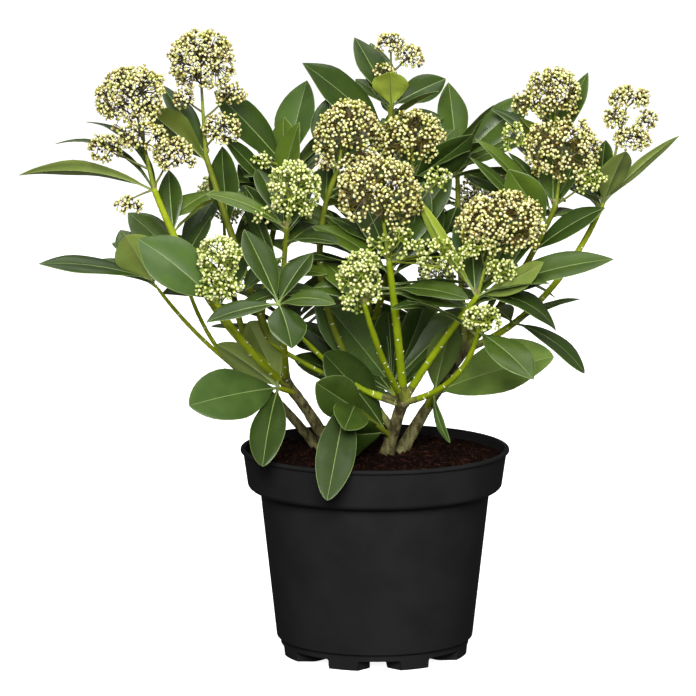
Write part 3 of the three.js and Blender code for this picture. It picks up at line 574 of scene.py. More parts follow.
def tube(points, radii, sides, relief=None):
    """Corners and faces of a closed round limb along points; relief changes the radius round and along it."""
    corners = []
    for point, radius, (side, other) in zip(points, radii, side_frames(points)):
        for i in range(sides):
            angle = 2 * math.pi * i / sides
            out = side * math.cos(angle) + other * math.sin(angle)
            reach = radius * relief(point + out * radius) if relief else radius
            corners.append(point + out * reach)
    faces = []
    for row in range(len(points) - 1):
        for i in range(sides):
            near = row * sides + i
            far = row * sides + (i + 1) % sides
            faces.append((near, far, far + sides, near + sides))
    faces.append(tuple(reversed(range(sides))))
    faces.append(tuple(range(len(corners) - sides, len(corners))))
    return corners, faces


def twig(gathered, start, end, thick, thin, finish, sides=3, bow=0.0):
    """Thin tapering stalk, a little arched."""
    steps = 4 if bow else 1
    arch = (end - start).orthogonal().normalized() * bow
    shares = [i / steps for i in range(steps + 1)]
    points = [start.lerp(end, share) + arch * math.sin(math.pi * share) for share in shares]
    gathered.add(*tube(points, [thick + (thin - thick) * share for share in shares], sides), finish)


class Shoot:
    """One shoot of the plant: its line, its leafy stem and the numbers its rule draws."""

    def __init__(self, row, index, limbs):
        self.row = row
        self.name = row["name"]
        self.node = f"mass_{self.name}"
        self.draws = Draws(RULE_SEED + RULE_SEED_STEP * index)
        self.fancy = Draws(LOOK_SEED + LOOK_SEED_STEP * index)
        self.has_bough = "from" in row
        start = limbs[row["from"] if self.has_bough else row["on"]](row["at"])
        self.top = Vector(row["top"]) * MM
        pull = start.lerp(self.top, 0.5) + Vector(row.get("bow", (0, 0, 0))) * MM
        self.line = Bow(start, pull, self.top)
        self.split = 1 - row["leafy"] * MM / self.line.length if self.has_bough else 0
        self.thick = row["thick"] * MM
        if self.has_bough:
            limbs[self.name] = lambda share: self.line.at(self.split * share)
        self.turns = [2 * math.pi * self.draws.next() for _ in row["heads"]]

    def stem(self, place):
        return self.line.at(self.split + (1 - self.split) * place)

    def radius(self, share):
        if share < self.split:
            return self.thick / 2 * (1 - (1 - BOUGH_TAPER) * share / self.split)
        foot = self.thick / 2 * (BOUGH_TAPER if self.has_bough else 1)
        return foot * (1 - (1 - STEM_TAPER) * (share - self.split) / (1 - self.split))

    def side(self):
        if self.name.startswith("rear"):
            return "rear"
        if self.name in MIDDLE_SHOOTS:
            return "middle"
        return "left" if self.top.x < 0 else "right"

    def shown_leaves(self):
        return [self.leaf(row) for row in self.row["leaves"]]

    def dressed(self, i, look):
        """A leaf of the table with the look that it has here."""
        top, under, roll, share = look
        place, bearing, rise, long, wide, droop, turn = self.row["leaves"][i]
        leaf = self.leaf((place, bearing, rise, long, wide * share, droop, turn + roll))
        leaf.finishes = (top, under)
        return leaf

    def further_leaf(self, row):
        """A leaf on a finer twig, with its own finish."""
        numbers = row[:LEAF_NUMBERS]
        # Unless the row names another, the upper face is the deep one, its dark green a painted shade
        top = row[LEAF_NUMBERS] if len(row) > LEAF_NUMBERS else "top_deep"
        leaf = self.leaf(numbers)
        # The underside is the dull one, a painted shade, unless the leaf is turned over to show it
        leaf.finishes = (top, "under_mid" if numbers[-1] < TURNED_OVER else "under_dull")
        return leaf

    def leaf(self, row):
        place, bearing, rise, long, wide, droop, turn = row
        return Leaf(self.stem(place), bearing, rise, long * MM, wide * MM, droop, turn, SHOWN_STATION)

    def added_leaves(self):
        """Leaves of the growing rule, each with the bearings that it may have been turned to."""
        draws = self.draws
        around = 360 * draws.next()
        leaves = []
        for i in range(self.row["more"]):
            place = RULE["low_place"] + RULE["place_span"] * (i + 0.5) / self.row["more"]
            long = RULE["long"] * (1 - RULE["long_spread"] * draws.next())
            bearing = around + DIVERGENCE * i + draws.spread(RULE["rise_spread"])
            rise = RULE["low_rise"] + (RULE["high_rise"] - RULE["low_rise"]) * place
            rise += draws.spread(RULE["rise_spread"])
            droop = RULE["droop"] + draws.spread(RULE["droop_spread"])
            turn = draws.spread(RULE["roll_spread"])
            leaves.append([
                Leaf(self.stem(place), bearing + DIVERGENCE * attempt, rise, long * MM,
                     long * RULE["wide_share"] * MM, droop, turn, ADDED_STATION)
                for attempt in range(RULE["tries"])])
        return leaves


class Leaf:
    """A leaf whose midrib is an arc in the plane of its chord and its upper face."""

    finishes = None

    def __init__(self, base, bearing, rise, long, wide, droop, turn, station):
        self.base = base
        self.long = long
        self.wide = wide
        self.station = station
        flat = math.cos(math.radians(rise))
        ahead = math.radians(bearing)
        self.chord = Vector((flat * math.cos(ahead), flat * math.sin(ahead), math.sin(math.radians(rise))))
        face = (UP - self.chord * self.chord.z).normalized()
        side = self.chord.cross(face)
        if side.dot(FRONT) < 0:
            side.negate()
        roll = math.radians(turn)
        self.face = face * math.cos(roll) + side * math.sin(roll)
        self.across = self.chord.cross(self.face)
        self.bend = math.radians(1 if abs(droop) < 1 else droop)
        self.arc = long / self.bend

    def rib(self, place):
        """Point of the midrib and the way its upper face looks there."""
        angle = self.bend * (place - 0.5)
        point = self.base + self.chord * (self.arc * (math.sin(angle) + math.sin(self.bend / 2)))
        point += self.face * (self.arc * (math.cos(angle) - math.cos(self.bend / 2)))
        return point, self.face * math.cos(angle) + self.chord * math.sin(angle)

    def is_in(self, tree):
        """Whether the packed solid of the mass holds this leaf."""
        near = tree.find_nearest(self.rib(self.station)[0])[3]
        return near < STATION_REACH and tree.find_nearest(self.rib(1)[0])[3] < TIP_REACH

    def half_width(self, place, blunt):
        share = (place - PETIOLE_SHARE) / (1 - PETIOLE_SHARE)
        if share <= 0:
            return PETIOLE_HALF
        power = BLUNT_POWER if blunt else POINTED_POWER
        fullness = BLUNT_FULLNESS if blunt else POINTED_FULLNESS
        return max(self.wide / 2 * math.sin(math.pi * share ** power) ** fullness, TIP_HALF)


def trunk_line(trunk):
    top = Vector(trunk["fork"]) * MM
    start = Vector((*[v * MM for v in trunk["foot"]], GROUND))
    pull = start.lerp(top, 0.5) + UP * TRUNK_LIFT
    return Bow(start - (top - start).normalized() * BELOW_GROUND, pull, top)


def grow_plan():
    """Lines of the trunks and all the shoots, in the order of the source's rule."""
    trunks = [(trunk, trunk_line(trunk)) for trunk in TRUNKS]
    limbs = {trunk["name"]: line.at for trunk, line in trunks}
    shoots = [Shoot(row, index, limbs) for index, row in enumerate(SHOOTS)]
    twigs = [Shoot(row, len(shoots) + index, limbs) for index, row in enumerate(TWIGS)]
    return trunks, shoots, twigs


def mass_tree(node):
    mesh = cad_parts[node].data
    corners = [vertex.co.copy() for vertex in mesh.vertices]
    return BVHTree.FromPolygons(corners, [tuple(polygon.vertices) for polygon in mesh.polygons])


def grown_leaves(shoot):
    """Leaves of a shoot that the packed solid has."""
    tree = mass_tree(shoot.node)
    looks = LOOKS.get(shoot.name, {})
    covered = COVERED.get(shoot.name, ())
    skipped = SKIPPED.get(shoot.name, ())
    leaves = []
    for i, leaf in enumerate(shoot.shown_leaves()):
        if leaf.is_in(tree) and i not in covered:
            leaves.append(shoot.dressed(i, looks[i]) if i in looks else leaf)
    for i, attempts in enumerate(shoot.added_leaves()):
        found = next((leaf for leaf in attempts if leaf.is_in(tree)), None)
        if found and i not in skipped:
            leaves.append(found)
    return leaves


class Room:
    """The packed solids and the leaves grown so far, for finding where a further leaf has room."""

    PLACES = (0.35, 0.55, 0.75, 1)
    ACROSS = (-0.9, 0, 0.9)

    def __init__(self, shoots):
        self.trees = [mass_tree(node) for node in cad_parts]
        self.heads = []
        for shoot in shoots:
            for right, back, up, wide, tall, _ in shoot.row["heads"]:
                self.heads.append((shoot.top + Vector((right, back, up)) * MM, wide / 2 * MM, tall / 2 * MM))
        self.grown = []

    def holds(self, leaf, low, high):
        points = []
        for place in self.PLACES:
            rib = leaf.rib(place)[0]
            half = leaf.half_width(place, False)
            points += [rib + leaf.across * (half * side) for side in self.ACROSS]
        return all(self.is_free(point, low, high) for point in points)

    def is_free(self, point, low, high):
        if any(point[i] < low[i] or point[i] > high[i] for i in range(3)):
            return False
        for centre, wide, tall in self.heads:
            away = point - centre
            flat = math.hypot(away.x / wide, away.z / (tall * HEAD_SKIRT))
            if flat < 1 and away.y < wide * math.sqrt(1 - flat * flat):
                return False
        if any((point - other).length < FILL_APART for other in self.grown):
            return False
        return all(tree.find_nearest(point, FILL_CLEAR)[0] is None for tree in self.trees)

    def fill(self, shoot):
        """Further leaves of a shoot, each turned on round the stem until it has room."""
        seed = FILL_SEED + FILL_SEED_STEP * len(shoot.name)
        draws = Draws(seed + int(shoot.top.x * FILL_PLACE_STEPS) % FILL_PLACE_SEEDS)
        is_rear = shoot.side() == "rear"
        left_out = OPEN.get(shoot.name, ())
        low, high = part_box(shoot.node)
        around = 360 * draws.next()
        leaves = []
        for i in range(FILL.get(shoot.name, 0)):
            for attempt in range(FILL_TRIES):
                long = RULE["long"] * draws.between(*FILL_LONG)
                if i % 2 == 0 and shoot.row["heads"] and not is_rear:
                    place = draws.between(*RUFF_PLACE)
                    bearing = draws.between(*RUFF_BEARING)
                    rise = draws.between(*RUFF_RISE)
                else:
                    place = draws.between(*FILL_PLACE)
                    bearing = around + DIVERGENCE * (i + attempt)
                    rise = RULE["low_rise"] + (RULE["high_rise"] - RULE["low_rise"]) * place
                    rise += draws.spread(FILL_RISE_SPREAD)
                turn = draws.spread(REAR_TURN_SPREAD) if is_rear else draws.between(*FILL_TURN)
                leaf = Leaf(shoot.stem(place), bearing, rise, long * MM, long * RULE["wide_share"] * MM,
                            draws.between(*FILL_DROOP), turn, ADDED_STATION)
                if self.holds(leaf, low, high):
                    if i not in left_out:
                        leaves.append(leaf)
                    self.grown += [leaf.rib(place)[0] for place in self.PLACES[1:]]
                    break
        return leaves


def add_leaf(gathered, leaf, draws, top, under):
    """One leaf: a thin closed blade with its midrib and margin in faces of their own."""
    blunt = leaf.rib(0.5)[0].z < LOW_LEAF
    phase = draws.between(0, 2 * math.pi)
    wave = draws.between(*LEAF_WAVE)
    curl = LEAF_CURL * draws.between(*CURL_SPREAD)
    fold = LEAF_FOLD * draws.between(*FOLD_SPREAD)
    twist = math.radians(draws.spread(LEAF_TWIST))
    corners = []
    for place in LEAF_PLACES:
        point, normal = leaf.rib(place)
        half = leaf.half_width(place, blunt)
        roll = twist * (place - TWIST_PIVOT)
        across = leaf.across * math.cos(roll) + normal * math.sin(roll)
        normal = normal * math.cos(roll) - leaf.across * math.sin(roll)
        rib = min(RIB_HALF * (1 - RIB_FADE * place) / half, RIB_MOST)
        edge = 1 - min(MARGIN / half, MARGIN_MOST)
        petiole = math.exp(-place / PETIOLE_FADE)
        thick = settings("leaves").thickness + PETIOLE_THICK * petiole

        def lift(x):
            shape = half * (fold * abs(x) - curl * x * x) * (1 - petiole)
            return shape + half * wave * x * x * math.sin(WAVE_TURN * place + phase + x)

        for x in (-1, -edge, -LEAF_HALF, -rib, 0, rib, LEAF_HALF, edge, 1):
            groove = RIB_GROOVE * (1 - place) if x == 0 else 0
            rise = lift(x) + (thick / 2 if abs(x) < 1 else 0) - groove
            corners.append(point + across * (half * x) + normal * rise)
        for x in (-edge, -LEAF_HALF, -rib, 0, rib, LEAF_HALF, edge):
            ridge = RIB_RIDGE * (1 - place) if x == 0 else 0
            corners.append(point + across * (half * x) + normal * (lift(x) - thick / 2 - ridge))
    add_blade(gathered, corners, top, under)


def add_blade(gathered, corners, top, under):
    """Faces of a leaf from its rows of upper and lower corners, which share those of the edges."""
    upper = list(range(UPPER_CORNERS))
    lower = [0] + list(range(UPPER_CORNERS, ROW_CORNERS)) + [UPPER_CORNERS - 1]
    faces = []
    marks = []
    rows = len(LEAF_PLACES)
    for row in range(rows - 1):
        near = ROW_CORNERS * row
        far = near + ROW_CORNERS
        stalk = LEAF_PLACES[row] < PETIOLE_SHARE
        for i in range(UPPER_CORNERS - 1):
            faces.append((near + upper[i], near + upper[i + 1], far + upper[i + 1], far + upper[i]))
            marks.append("rib" if stalk or i in RIB_FACES else "margin" if i in EDGE_FACES else top)
            faces.append((near + lower[i + 1], near + lower[i], far + lower[i], far + lower[i + 1]))
            marks.append("under_rib" if stalk or i in RIB_FACES else under)
    ring = upper + lower[LOWER_CORNERS:0:-1]
    faces.append(tuple(reversed(ring)))
    faces.append(tuple(ROW_CORNERS * (rows - 1) + i for i in ring))
    marks += ["rib", "margin"]
    gathered.add(corners, faces, marks)


def dome_ways(count, turn):
    """Directions spread evenly over a dome, from its top downwards."""
    ways = []
    for i in range(count):
        height = 1 - HEAD_LOW * (i + 0.5) / count
        out = math.sqrt(max(1 - height * height, 0))
        angle = turn + GOLDEN * i
        ways.append(Vector((out * math.cos(angle), out * math.sin(angle), height)))
    return ways


def bud_shape():
    """Corners and faces of one bud of radius 1 that opens upwards, its lowest faces the calyx."""
    corners = [Vector((0, 0, -1))]
    for row, (height, radius) in enumerate(BUD_RINGS):
        for i in range(BUD_CORNERS):
            angle = 2 * math.pi * (i + 0.5 * row) / BUD_CORNERS
            corners.append(Vector((radius * math.cos(angle), radius * math.sin(angle), height * BUD_TALL)))
    corners.append(Vector((0, 0, BUD_TALL)))
    low, high, last = 1, 1 + BUD_CORNERS, len(corners) - 1
    pairs = [(i, (i + 1) % BUD_CORNERS) for i in range(BUD_CORNERS)]
    faces = [(0, low + j, low + i) for i, j in pairs]
    for i, j in pairs:
        faces += [(low + i, low + j, high + i), (low + j, high + j, high + i)]
    faces += [(last, high + i, high + j) for i, j in pairs]
    return corners, faces


BUD_SHAPE = bud_shape()


def add_bud(buds, point, way, radius, finishes):
    """One bud; finishes are those of its calyx, of its lower half, mostly darkened with painted shade, and of
    its petals.
    """
    corners, faces = BUD_SHAPE
    side = way.orthogonal().normalized()
    other = way.cross(side)
    placed = [point + (side * c.x + other * c.y + way * c.z) * radius for c in corners]
    calyx, lower, petals = finishes
    # The lower half is darker than the petals, a painted shade under the lit top
    marks = [calyx] * BUD_CORNERS + [lower] * (2 * BUD_CORNERS)
    buds.add(placed, faces, marks + [petals] * (len(faces) - len(marks)))


class Head:
    """One flower head: an axis, sprays that leave it one above the other, and clusters of buds on them."""

    def __init__(self, shoot, row, turn, main):
        right, back, up, wide, tall, count = row
        self.draws = shoot.fancy
        self.turn = turn
        self.count = count
        self.is_side = bool(main)
        self.share = GREEN_SIDES.get(shoot.name, SIDE_SHARE) if main else 1
        self.share *= DENSE.get(shoot.name, 1)
        self.blushed = shoot.name in BLUSHED and not (main and shoot.name in GREEN_SIDES)
        self.stalk = "stalk_green"
        if self.blushed:
            self.stalk = "stalk_olive" if shoot.name in OLIVE else "stalk_red"
        wider = FEW_REACH if count <= FEW_SPRAYS else 1
        self.reach = Vector((wide / 2, wide / 2, tall / 2)) * MM * wider
        self.area = math.pi * ((wide + tall) / 2 * MM) ** 2 * HEAD_LOW / 2
        self.centre = shoot.top + Vector((right, back, up)) * MM
        self.foot = self.centre.z - self.reach.z * HEAD_FOOT
        start = shoot.top
        self.thick = shoot.radius(1) * AXIS_SHARE
        if main:
            flat = math.hypot(self.centre.x - main.tip.x, self.centre.y - main.tip.y)
            start = main.at_height(self.centre.z - flat * math.tan(SPRAY_LIFT))
            self.thick = SIDE_STALK
        self.tip = self.centre + UP * self.reach.z * HEAD_TIP
        pull = start.lerp(self.tip, 0.5)
        if main:
            pull += Vector((self.tip.x - start.x, self.tip.y - start.y, 0)) * SIDE_PULL
        self.axis = Bow(start, pull, self.tip)
        self.ways = dome_ways(count, turn)
        self.swells = [self.draws.between(*HEAD_SWELLS) for _ in self.ways]
        self.inner = self.reach - Vector((settings("heads").pedicel * HEAD_INSET,) * 3)

    def at_height(self, height):
        """Point of the axis at a height."""
        low, high = self.axis.at(0).z, self.tip.z
        return self.axis.at((height - low) / (high - low))

    def surface(self, way, depth):
        """Point of the head's lumpy outside in a direction, and how near the middle of a spray it is."""
        if self.count <= FEW_SPRAYS:
            return self.centre + Vector([a * b for a, b in zip(way, self.inner)]) * depth, 1
        spray = max(range(self.count), key=lambda i: self.ways[i].dot(way))
        swell = smoothstep(self.ways[spray].dot(way), HEAD_BETWEEN, 1)
        share = (HEAD_HOLLOW + (1 - HEAD_HOLLOW) * swell) * self.swells[spray] * depth
        offset = Vector([a * b for a, b in zip(way, self.inner)]) * share
        if offset.z < 0:
            offset.z *= HEAD_SKIRT
        return self.centre + offset, swell

    def grow(self, buds, stalks):
        draws = self.draws
        shares = [i / AXIS_STEPS for i in range(AXIS_STEPS + 1)]
        radii = [self.thick + (AXIS_TIP - self.thick) * share for share in shares]
        corners, faces = tube([self.axis.at(share) for share in shares], radii, AXIS_SIDES)
        green = 0 if self.is_side else int(AXIS_GREEN * AXIS_STEPS)
        marks = ["stalk_green"] * (green * AXIS_SIDES)
        stalks.add(corners, faces, marks + ["stalk_axis"] * (len(faces) - len(marks)))
        ends = []
        for way in self.ways:
            end = self.surface(way, SPRAY_DEPTH)[0]
            flat = math.hypot(end.x - self.tip.x, end.y - self.tip.y)
            joint = self.at_height(max(end.z - flat * math.tan(SPRAY_LIFT), self.foot))
            twig(stalks, joint, end, SPRAY_STALK, CLUSTER_STALK, self.stalk, SPRAY_SIDES, SPRAY_ARCH)
            ends.append(end)
        clusters = max(int(self.area / CLUSTER_AREA * self.share), FEWEST_CLUSTERS)
        for way in dome_ways(clusters, self.turn):
            lean = Vector((draws.spread(1), draws.spread(1), draws.spread(1))) * CLUSTER_LEAN
            way = (way + lean).normalized()
            point, swell = self.surface(way, draws.between(*CLUSTER_DEPTH))
            if swell < GAP_SWELL and draws.next() < GAP_CHANCE:
                continue
            near = min(ends, key=lambda end: (end - point).length_squared)
            twig(stalks, near, point, CLUSTER_STALK, PEDICEL, self.stalk, CLUSTER_SIDES)
            self.cluster(buds, stalks, point, way)

    def cluster(self, buds, stalks, point, way):
        """A few buds on short pedicels that spread from one point."""
        draws = self.draws
        size = settings("heads")
        side = way.orthogonal().normalized()
        other = way.cross(side)
        count = FEWEST_BUDS + int(draws.next() * MORE_BUDS)
        turn = draws.between(0, 2 * math.pi)
        tints = BLUSHED_BUDS if self.blushed else GREEN_BUDS
        for i in range(count):
            polar = CLUSTER_CONE * math.sqrt((i + FIRST_BUD) / count) + draws.spread(BUD_LEAN_SPREAD)
            angle = turn + GOLDEN * i + draws.spread(BUD_TURN_SPREAD)
            out = way * math.cos(polar)
            out += (side * math.cos(angle) + other * math.sin(angle)) * math.sin(polar)
            radius = size.bud_radius * draws.between(*BUD_SIZES)
            bud = point + out * size.pedicel * draws.between(*PEDICEL_LENGTHS)
            add_bud(buds, bud, out, radius, draws.pick(tints))
            twig(stalks, point, bud - out * radius * BUD_SINK, PEDICEL, PEDICEL, self.stalk)


# Calyx, lower half and petals of the buds on reddish and on green heads; most lower halves are their tint
# darkened with painted shade
BLUSHED_BUDS = (("calyx_red", "bud_olive", "bud_cream"), ("calyx_red", "bud_rosy", "bud_cream"),
                ("calyx_red", "bud_olive", "bud_pale"), ("calyx_olive", "bud_pale", "bud_cream"))
GREEN_BUDS = (("calyx_green", "bud_green", "bud_cream"), ("calyx_green", "bud_green", "bud_pale"),
              ("calyx_green", "bud_pale", "bud_cream"), ("calyx_green", "bud_green", "bud_cream"))


def settings(group):
    return getattr(bpy.context.scene, f"skimmia_{group}")


def linear(*screen):
    """Colour from everyday screen values of red, green and blue, 0 to 255."""
    shares = [value / 255 for value in screen]
    return tuple(share / 12.92 if share < 0.04045 else ((share + 0.055) / 1.055) ** 2.4 for share in shares)


COLOUR = {"subtype": "COLOR", "size": 3, "min": 0, "max": 1}
LENGTH = {"subtype": "DISTANCE", "unit": "LENGTH"}
POWER = {"subtype": "POWER", "min": 0, "max": 500}


class PotSettings(PropertyGroup):
    """Nursery pot."""

    colour: FloatVectorProperty(
        name="Colour", description="Colour of the moulded plastic",
        default=linear(33, 33, 34), **COLOUR)
    sides: IntProperty(name="Sides", description="Facets round the pot", default=128, min=24, max=256)


class CompostSettings(PropertyGroup):
    """Damp compost in the pot."""

    colour: FloatVectorProperty(
        name="Colour", description="Colour of the crumbs",
        default=linear(42, 24, 17), **COLOUR)
    crumbs: IntProperty(name="Crumbs", description="Loose crumbs on top", default=1500, min=0, max=5000)
    fibres: IntProperty(name="Fibres", description="Loose fibres on top", default=170, min=0, max=1000)


class BarkSettings(PropertyGroup):
    """Bark of the trunks and skin of the green stems."""

    trunk_colour: FloatVectorProperty(
        name="Trunk", description="Colour of the woody bark",
        default=linear(112, 108, 70), **COLOUR)
    stem_colour: FloatVectorProperty(
        name="Stem", description="Colour of the young stems",
        default=linear(176, 188, 34), **COLOUR)


class LeavesSettings(PropertyGroup):
    """Leathery leaves."""

    upper_colour: FloatVectorProperty(
        name="Upper face", description="Colour of a common leaf from above",
        default=linear(72, 94, 32), **COLOUR)
    under_colour: FloatVectorProperty(
        name="Underside", description="Colour of a common leaf from below",
        default=linear(132, 148, 66), **COLOUR)
    rib_colour: FloatVectorProperty(
        name="Midrib", description="Colour of the midrib and margin",
        default=linear(140, 158, 92), **COLOUR)
    thickness: FloatProperty(
        name="Thickness", description="Thickness of the blade",
        default=0.5 * MM, min=0.1 * MM, max=3 * MM, **LENGTH)


class HeadsSettings(PropertyGroup):
    """Heads of flower buds."""

    bud_radius: FloatProperty(
        name="Bud radius", description="Radius of a full bud",
        default=1.24 * MM, min=0.5 * MM, max=4 * MM, **LENGTH)
    pedicel: FloatProperty(
        name="Pedicel", description="Length of the stalk of one bud",
        default=3.7 * MM, min=1 * MM, max=10 * MM, **LENGTH)
    bud_colour: FloatVectorProperty(
        name="Buds", description="Colour of most buds",
        default=linear(252, 244, 198), **COLOUR)
    stalk_colour: FloatVectorProperty(
        name="Stalks", description="Colour of the reddish stalks of the upper heads",
        default=linear(100, 85, 22), **COLOUR)


class StageSettings(PropertyGroup):
    """Camera, floor and light."""

    distance: FloatProperty(
        name="Distance", description="From the camera to the plant",
        default=2.6, min=0.5, max=20, **LENGTH)
    elevation: FloatProperty(
        name="Elevation", description="How far above level the camera looks from", subtype="ANGLE",
        default=math.radians(8.7), min=0, max=1.5)
    view_width: FloatProperty(
        name="View width", description="Width of the view at the plant",
        default=0.49, min=0.1, max=5, **LENGTH)
    target: FloatVectorProperty(
        name="Target", description="Middle of the view", subtype="XYZ", size=3, unit="LENGTH",
        default=(-0.019, 0, 0.2175))
    key_power: FloatProperty(
        name="Key", description="Power of the large front light", default=86, **POWER)
    fill_power: FloatProperty(
        name="Fill", description="Power of the light on the right", default=4, **POWER)
    top_power: FloatProperty(
        name="Top", description="Power of the light from above", default=30, **POWER)
    back_power: FloatProperty(
        name="Back", description="Power of the light from behind", default=10, **POWER)
    sky: FloatProperty(
        name="Sky", description="Strength of the even light all round", default=0.17, min=0, max=5)


def new_group(name, inputs, outputs):
    group = bpy.data.node_groups.new(name, "ShaderNodeTree")
    for label, kind, value in inputs:
        group.interface.new_socket(name=label, in_out="INPUT", socket_type=kind).default_value = value
    for label, kind in outputs:
        group.interface.new_socket(name=label, in_out="OUTPUT", socket_type=kind)
    start = group.nodes.new("NodeGroupInput")
    end = group.nodes.new("NodeGroupOutput")
    return group, start, end


def mottle_group():
    """Soft patches of a second colour, with gloss that changes with them."""
    name = "Skimmia mottle"
    if name in bpy.data.node_groups:
        return bpy.data.node_groups[name]
    grey = (0.1, 0.1, 0.1, 1)
    group, start, end = new_group(
        name,
        (("Main colour", "NodeSocketColor", grey), ("Patch colour", "NodeSocketColor", grey),
         ("Scale", "NodeSocketFloat", 60.0), ("Rough low", "NodeSocketFloat", 0.3),
         ("Rough high", "NodeSocketFloat", 0.5)),
        (("Colour", "NodeSocketColor"), ("Roughness", "NodeSocketFloat")))
    nodes, links = group.nodes, group.links
    place = nodes.new("ShaderNodeTexCoord")
    clouds = nodes.new("ShaderNodeTexNoise")
    clouds.inputs["Detail"].default_value = 4
    links.new(place.outputs["Object"], clouds.inputs["Vector"])
    links.new(start.outputs["Scale"], clouds.inputs["Scale"])
    patches = nodes.new("ShaderNodeMapRange")
    patches.inputs["From Min"].default_value = 0.36
    patches.inputs["From Max"].default_value = 0.64
    links.new(clouds.outputs["Fac"], patches.inputs["Value"])
    mix = nodes.new("ShaderNodeMix")
    mix.data_type = "RGBA"
    links.new(patches.outputs["Result"], mix.inputs["Factor"])
    links.new(start.outputs["Main colour"], mix.inputs["A"])
    links.new(start.outputs["Patch colour"], mix.inputs["B"])
    links.new(mix.outputs["Result"], end.inputs["Colour"])
    rough = nodes.new("ShaderNodeMapRange")
    links.new(patches.outputs["Result"], rough.inputs["Value"])
    links.new(start.outputs["Rough low"], rough.inputs["To Min"])
    links.new(start.outputs["Rough high"], rough.inputs["To Max"])
    links.new(rough.outputs["Result"], end.inputs["Roughness"])
    return group


def relief_group():
    """Grain of a surface, drawn out along the axes by a stretch."""
    name = "Skimmia relief"
    if name in bpy.data.node_groups:
        return bpy.data.node_groups[name]
    group, start, end = new_group(
        name,
        (("Scale", "NodeSocketFloat", 500.0), ("Stretch", "NodeSocketVector", (1, 1, 1))),
        (("Height", "NodeSocketFloat"),))
    nodes, links = group.nodes, group.links
    place = nodes.new("ShaderNodeTexCoord")
    stretch = nodes.new("ShaderNodeVectorMath")
    stretch.operation = "MULTIPLY"
    links.new(place.outputs["Object"], stretch.inputs[0])
    links.new(start.outputs["Stretch"], stretch.inputs[1])
    grain = nodes.new("ShaderNodeTexNoise")
    grain.inputs["Detail"].default_value = 6
    grain.inputs["Roughness"].default_value = 0.6
    links.new(stretch.outputs["Vector"], grain.inputs["Vector"])
    links.new(start.outputs["Scale"], grain.inputs["Scale"])
    links.new(grain.outputs["Fac"], end.inputs["Height"])
    return group


def surface_finish(name, colour, patch, rough, patch_scale=60, grain=700, bump=0.1, stretch=(1, 1, 1),
                   specular=0.5):
    """Material with soft patches of a second colour and a fine grain."""
    material = bpy.data.materials.new(name)
    material.use_nodes = True
    nodes, links = material.node_tree.nodes, material.node_tree.links
    shader = nodes["Principled BSDF"]
    shader.inputs["Specular IOR Level"].default_value = specular
    mottle = nodes.new("ShaderNodeGroup")
    mottle.node_tree = mottle_group()
    mottle.inputs["Main colour"].default_value = (*colour, 1)
    mottle.inputs["Patch colour"].default_value = (*patch, 1)
    mottle.inputs["Scale"].default_value = patch_scale
    mottle.inputs["Rough low"].default_value, mottle.inputs["Rough high"].default_value = rough
    links.new(mottle.outputs["Colour"], shader.inputs["Base Color"])
    links.new(mottle.outputs["Roughness"], shader.inputs["Roughness"])
    relief = nodes.new("ShaderNodeGroup")
    relief.node_tree = relief_group()
    relief.inputs["Scale"].default_value = grain
    relief.inputs["Stretch"].default_value = stretch
    raised = nodes.new("ShaderNodeBump")
    raised.inputs["Strength"].default_value = bump
    raised.inputs["Distance"].default_value = MM
    links.new(relief.outputs["Height"], raised.inputs["Height"])
    links.new(raised.outputs["Normal"], shader.inputs["Normal"])
    return material


def tinted(colour, *factors):
    return tuple(min(value * factor, 1) for value, factor in zip(colour, factors))


# Pot, in millimetres: the sizes of the source and the roundings of its edges
POT = {"wall": 1.6, "floor": 9, "foot_radius": 66.2, "foot_tall": 12, "foot_step": 2.5, "foot_edge": 1,
       "body_high_radius": 81.2, "body_tall": 117, "band_low_radius": 90, "band_foot": 122,
       "band_high_radius": 93.2, "lip_radius": 95, "lip_tall": 2.6, "lip_rounding": 1.2, "tall": 147,
       "rounding": 0.7}
DRAIN = {"count": 8, "wide": 31, "lead": 2, "funnel": 9, "neck": 12, "deep": 40, "tall": 7, "turn": -87.5,
         "rounding": 2}


def arc(centre, size, start, end, steps):
    """Points on a stretch of an ellipse, from one angle to another."""
    points = []
    for i in range(steps + 1):
        angle = math.radians(start + (end - start) * i / steps)
        points.append((centre[0] + size[0] * math.cos(angle), centre[1] + size[1] * math.sin(angle)))
    return points


def pot_profile():
    """Outline of the pot, in millimetres: up the outside, over the lip and down the inside."""
    soft = POT["rounding"]
    band = POT["tall"] - POT["lip_tall"]
    foot = POT["foot_radius"]
    step = foot + POT["foot_edge"] + POT["foot_step"]
    out = POT["band_low_radius"] - POT["body_high_radius"]
    rise = POT["band_foot"] - POT["body_tall"]
    profile = arc((foot - soft, soft), (soft, soft), -90, 0, 3)
    profile += [(foot + POT["foot_edge"], POT["foot_tall"])]
    profile += arc((step - soft, POT["foot_tall"] + soft), (soft, soft), -90, 0, 3)
    profile += [(POT["body_high_radius"], POT["body_tall"])]
    shoulder = arc((POT["body_high_radius"], POT["band_foot"]), (out, rise), -80, 0, 8)
    profile += shoulder + [(POT["band_high_radius"], band)]
    profile += arc((POT["lip_radius"] - soft, band + soft), (soft, soft), -90, 0, 3)
    lip = POT["lip_rounding"]
    profile += arc((POT["lip_radius"] - lip, POT["tall"] - lip), (lip, lip), 0, 90, 5)
    inner = POT["band_high_radius"] - POT["wall"]
    profile += arc((inner + soft, POT["tall"] - soft), (soft, soft), 90, 180, 3)
    profile += [(inner, band), (POT["band_low_radius"] - POT["wall"], POT["band_foot"])]
    profile += [(POT["body_high_radius"] - POT["wall"], POT["body_tall"]), (foot - POT["wall"], POT["floor"])]
    return profile


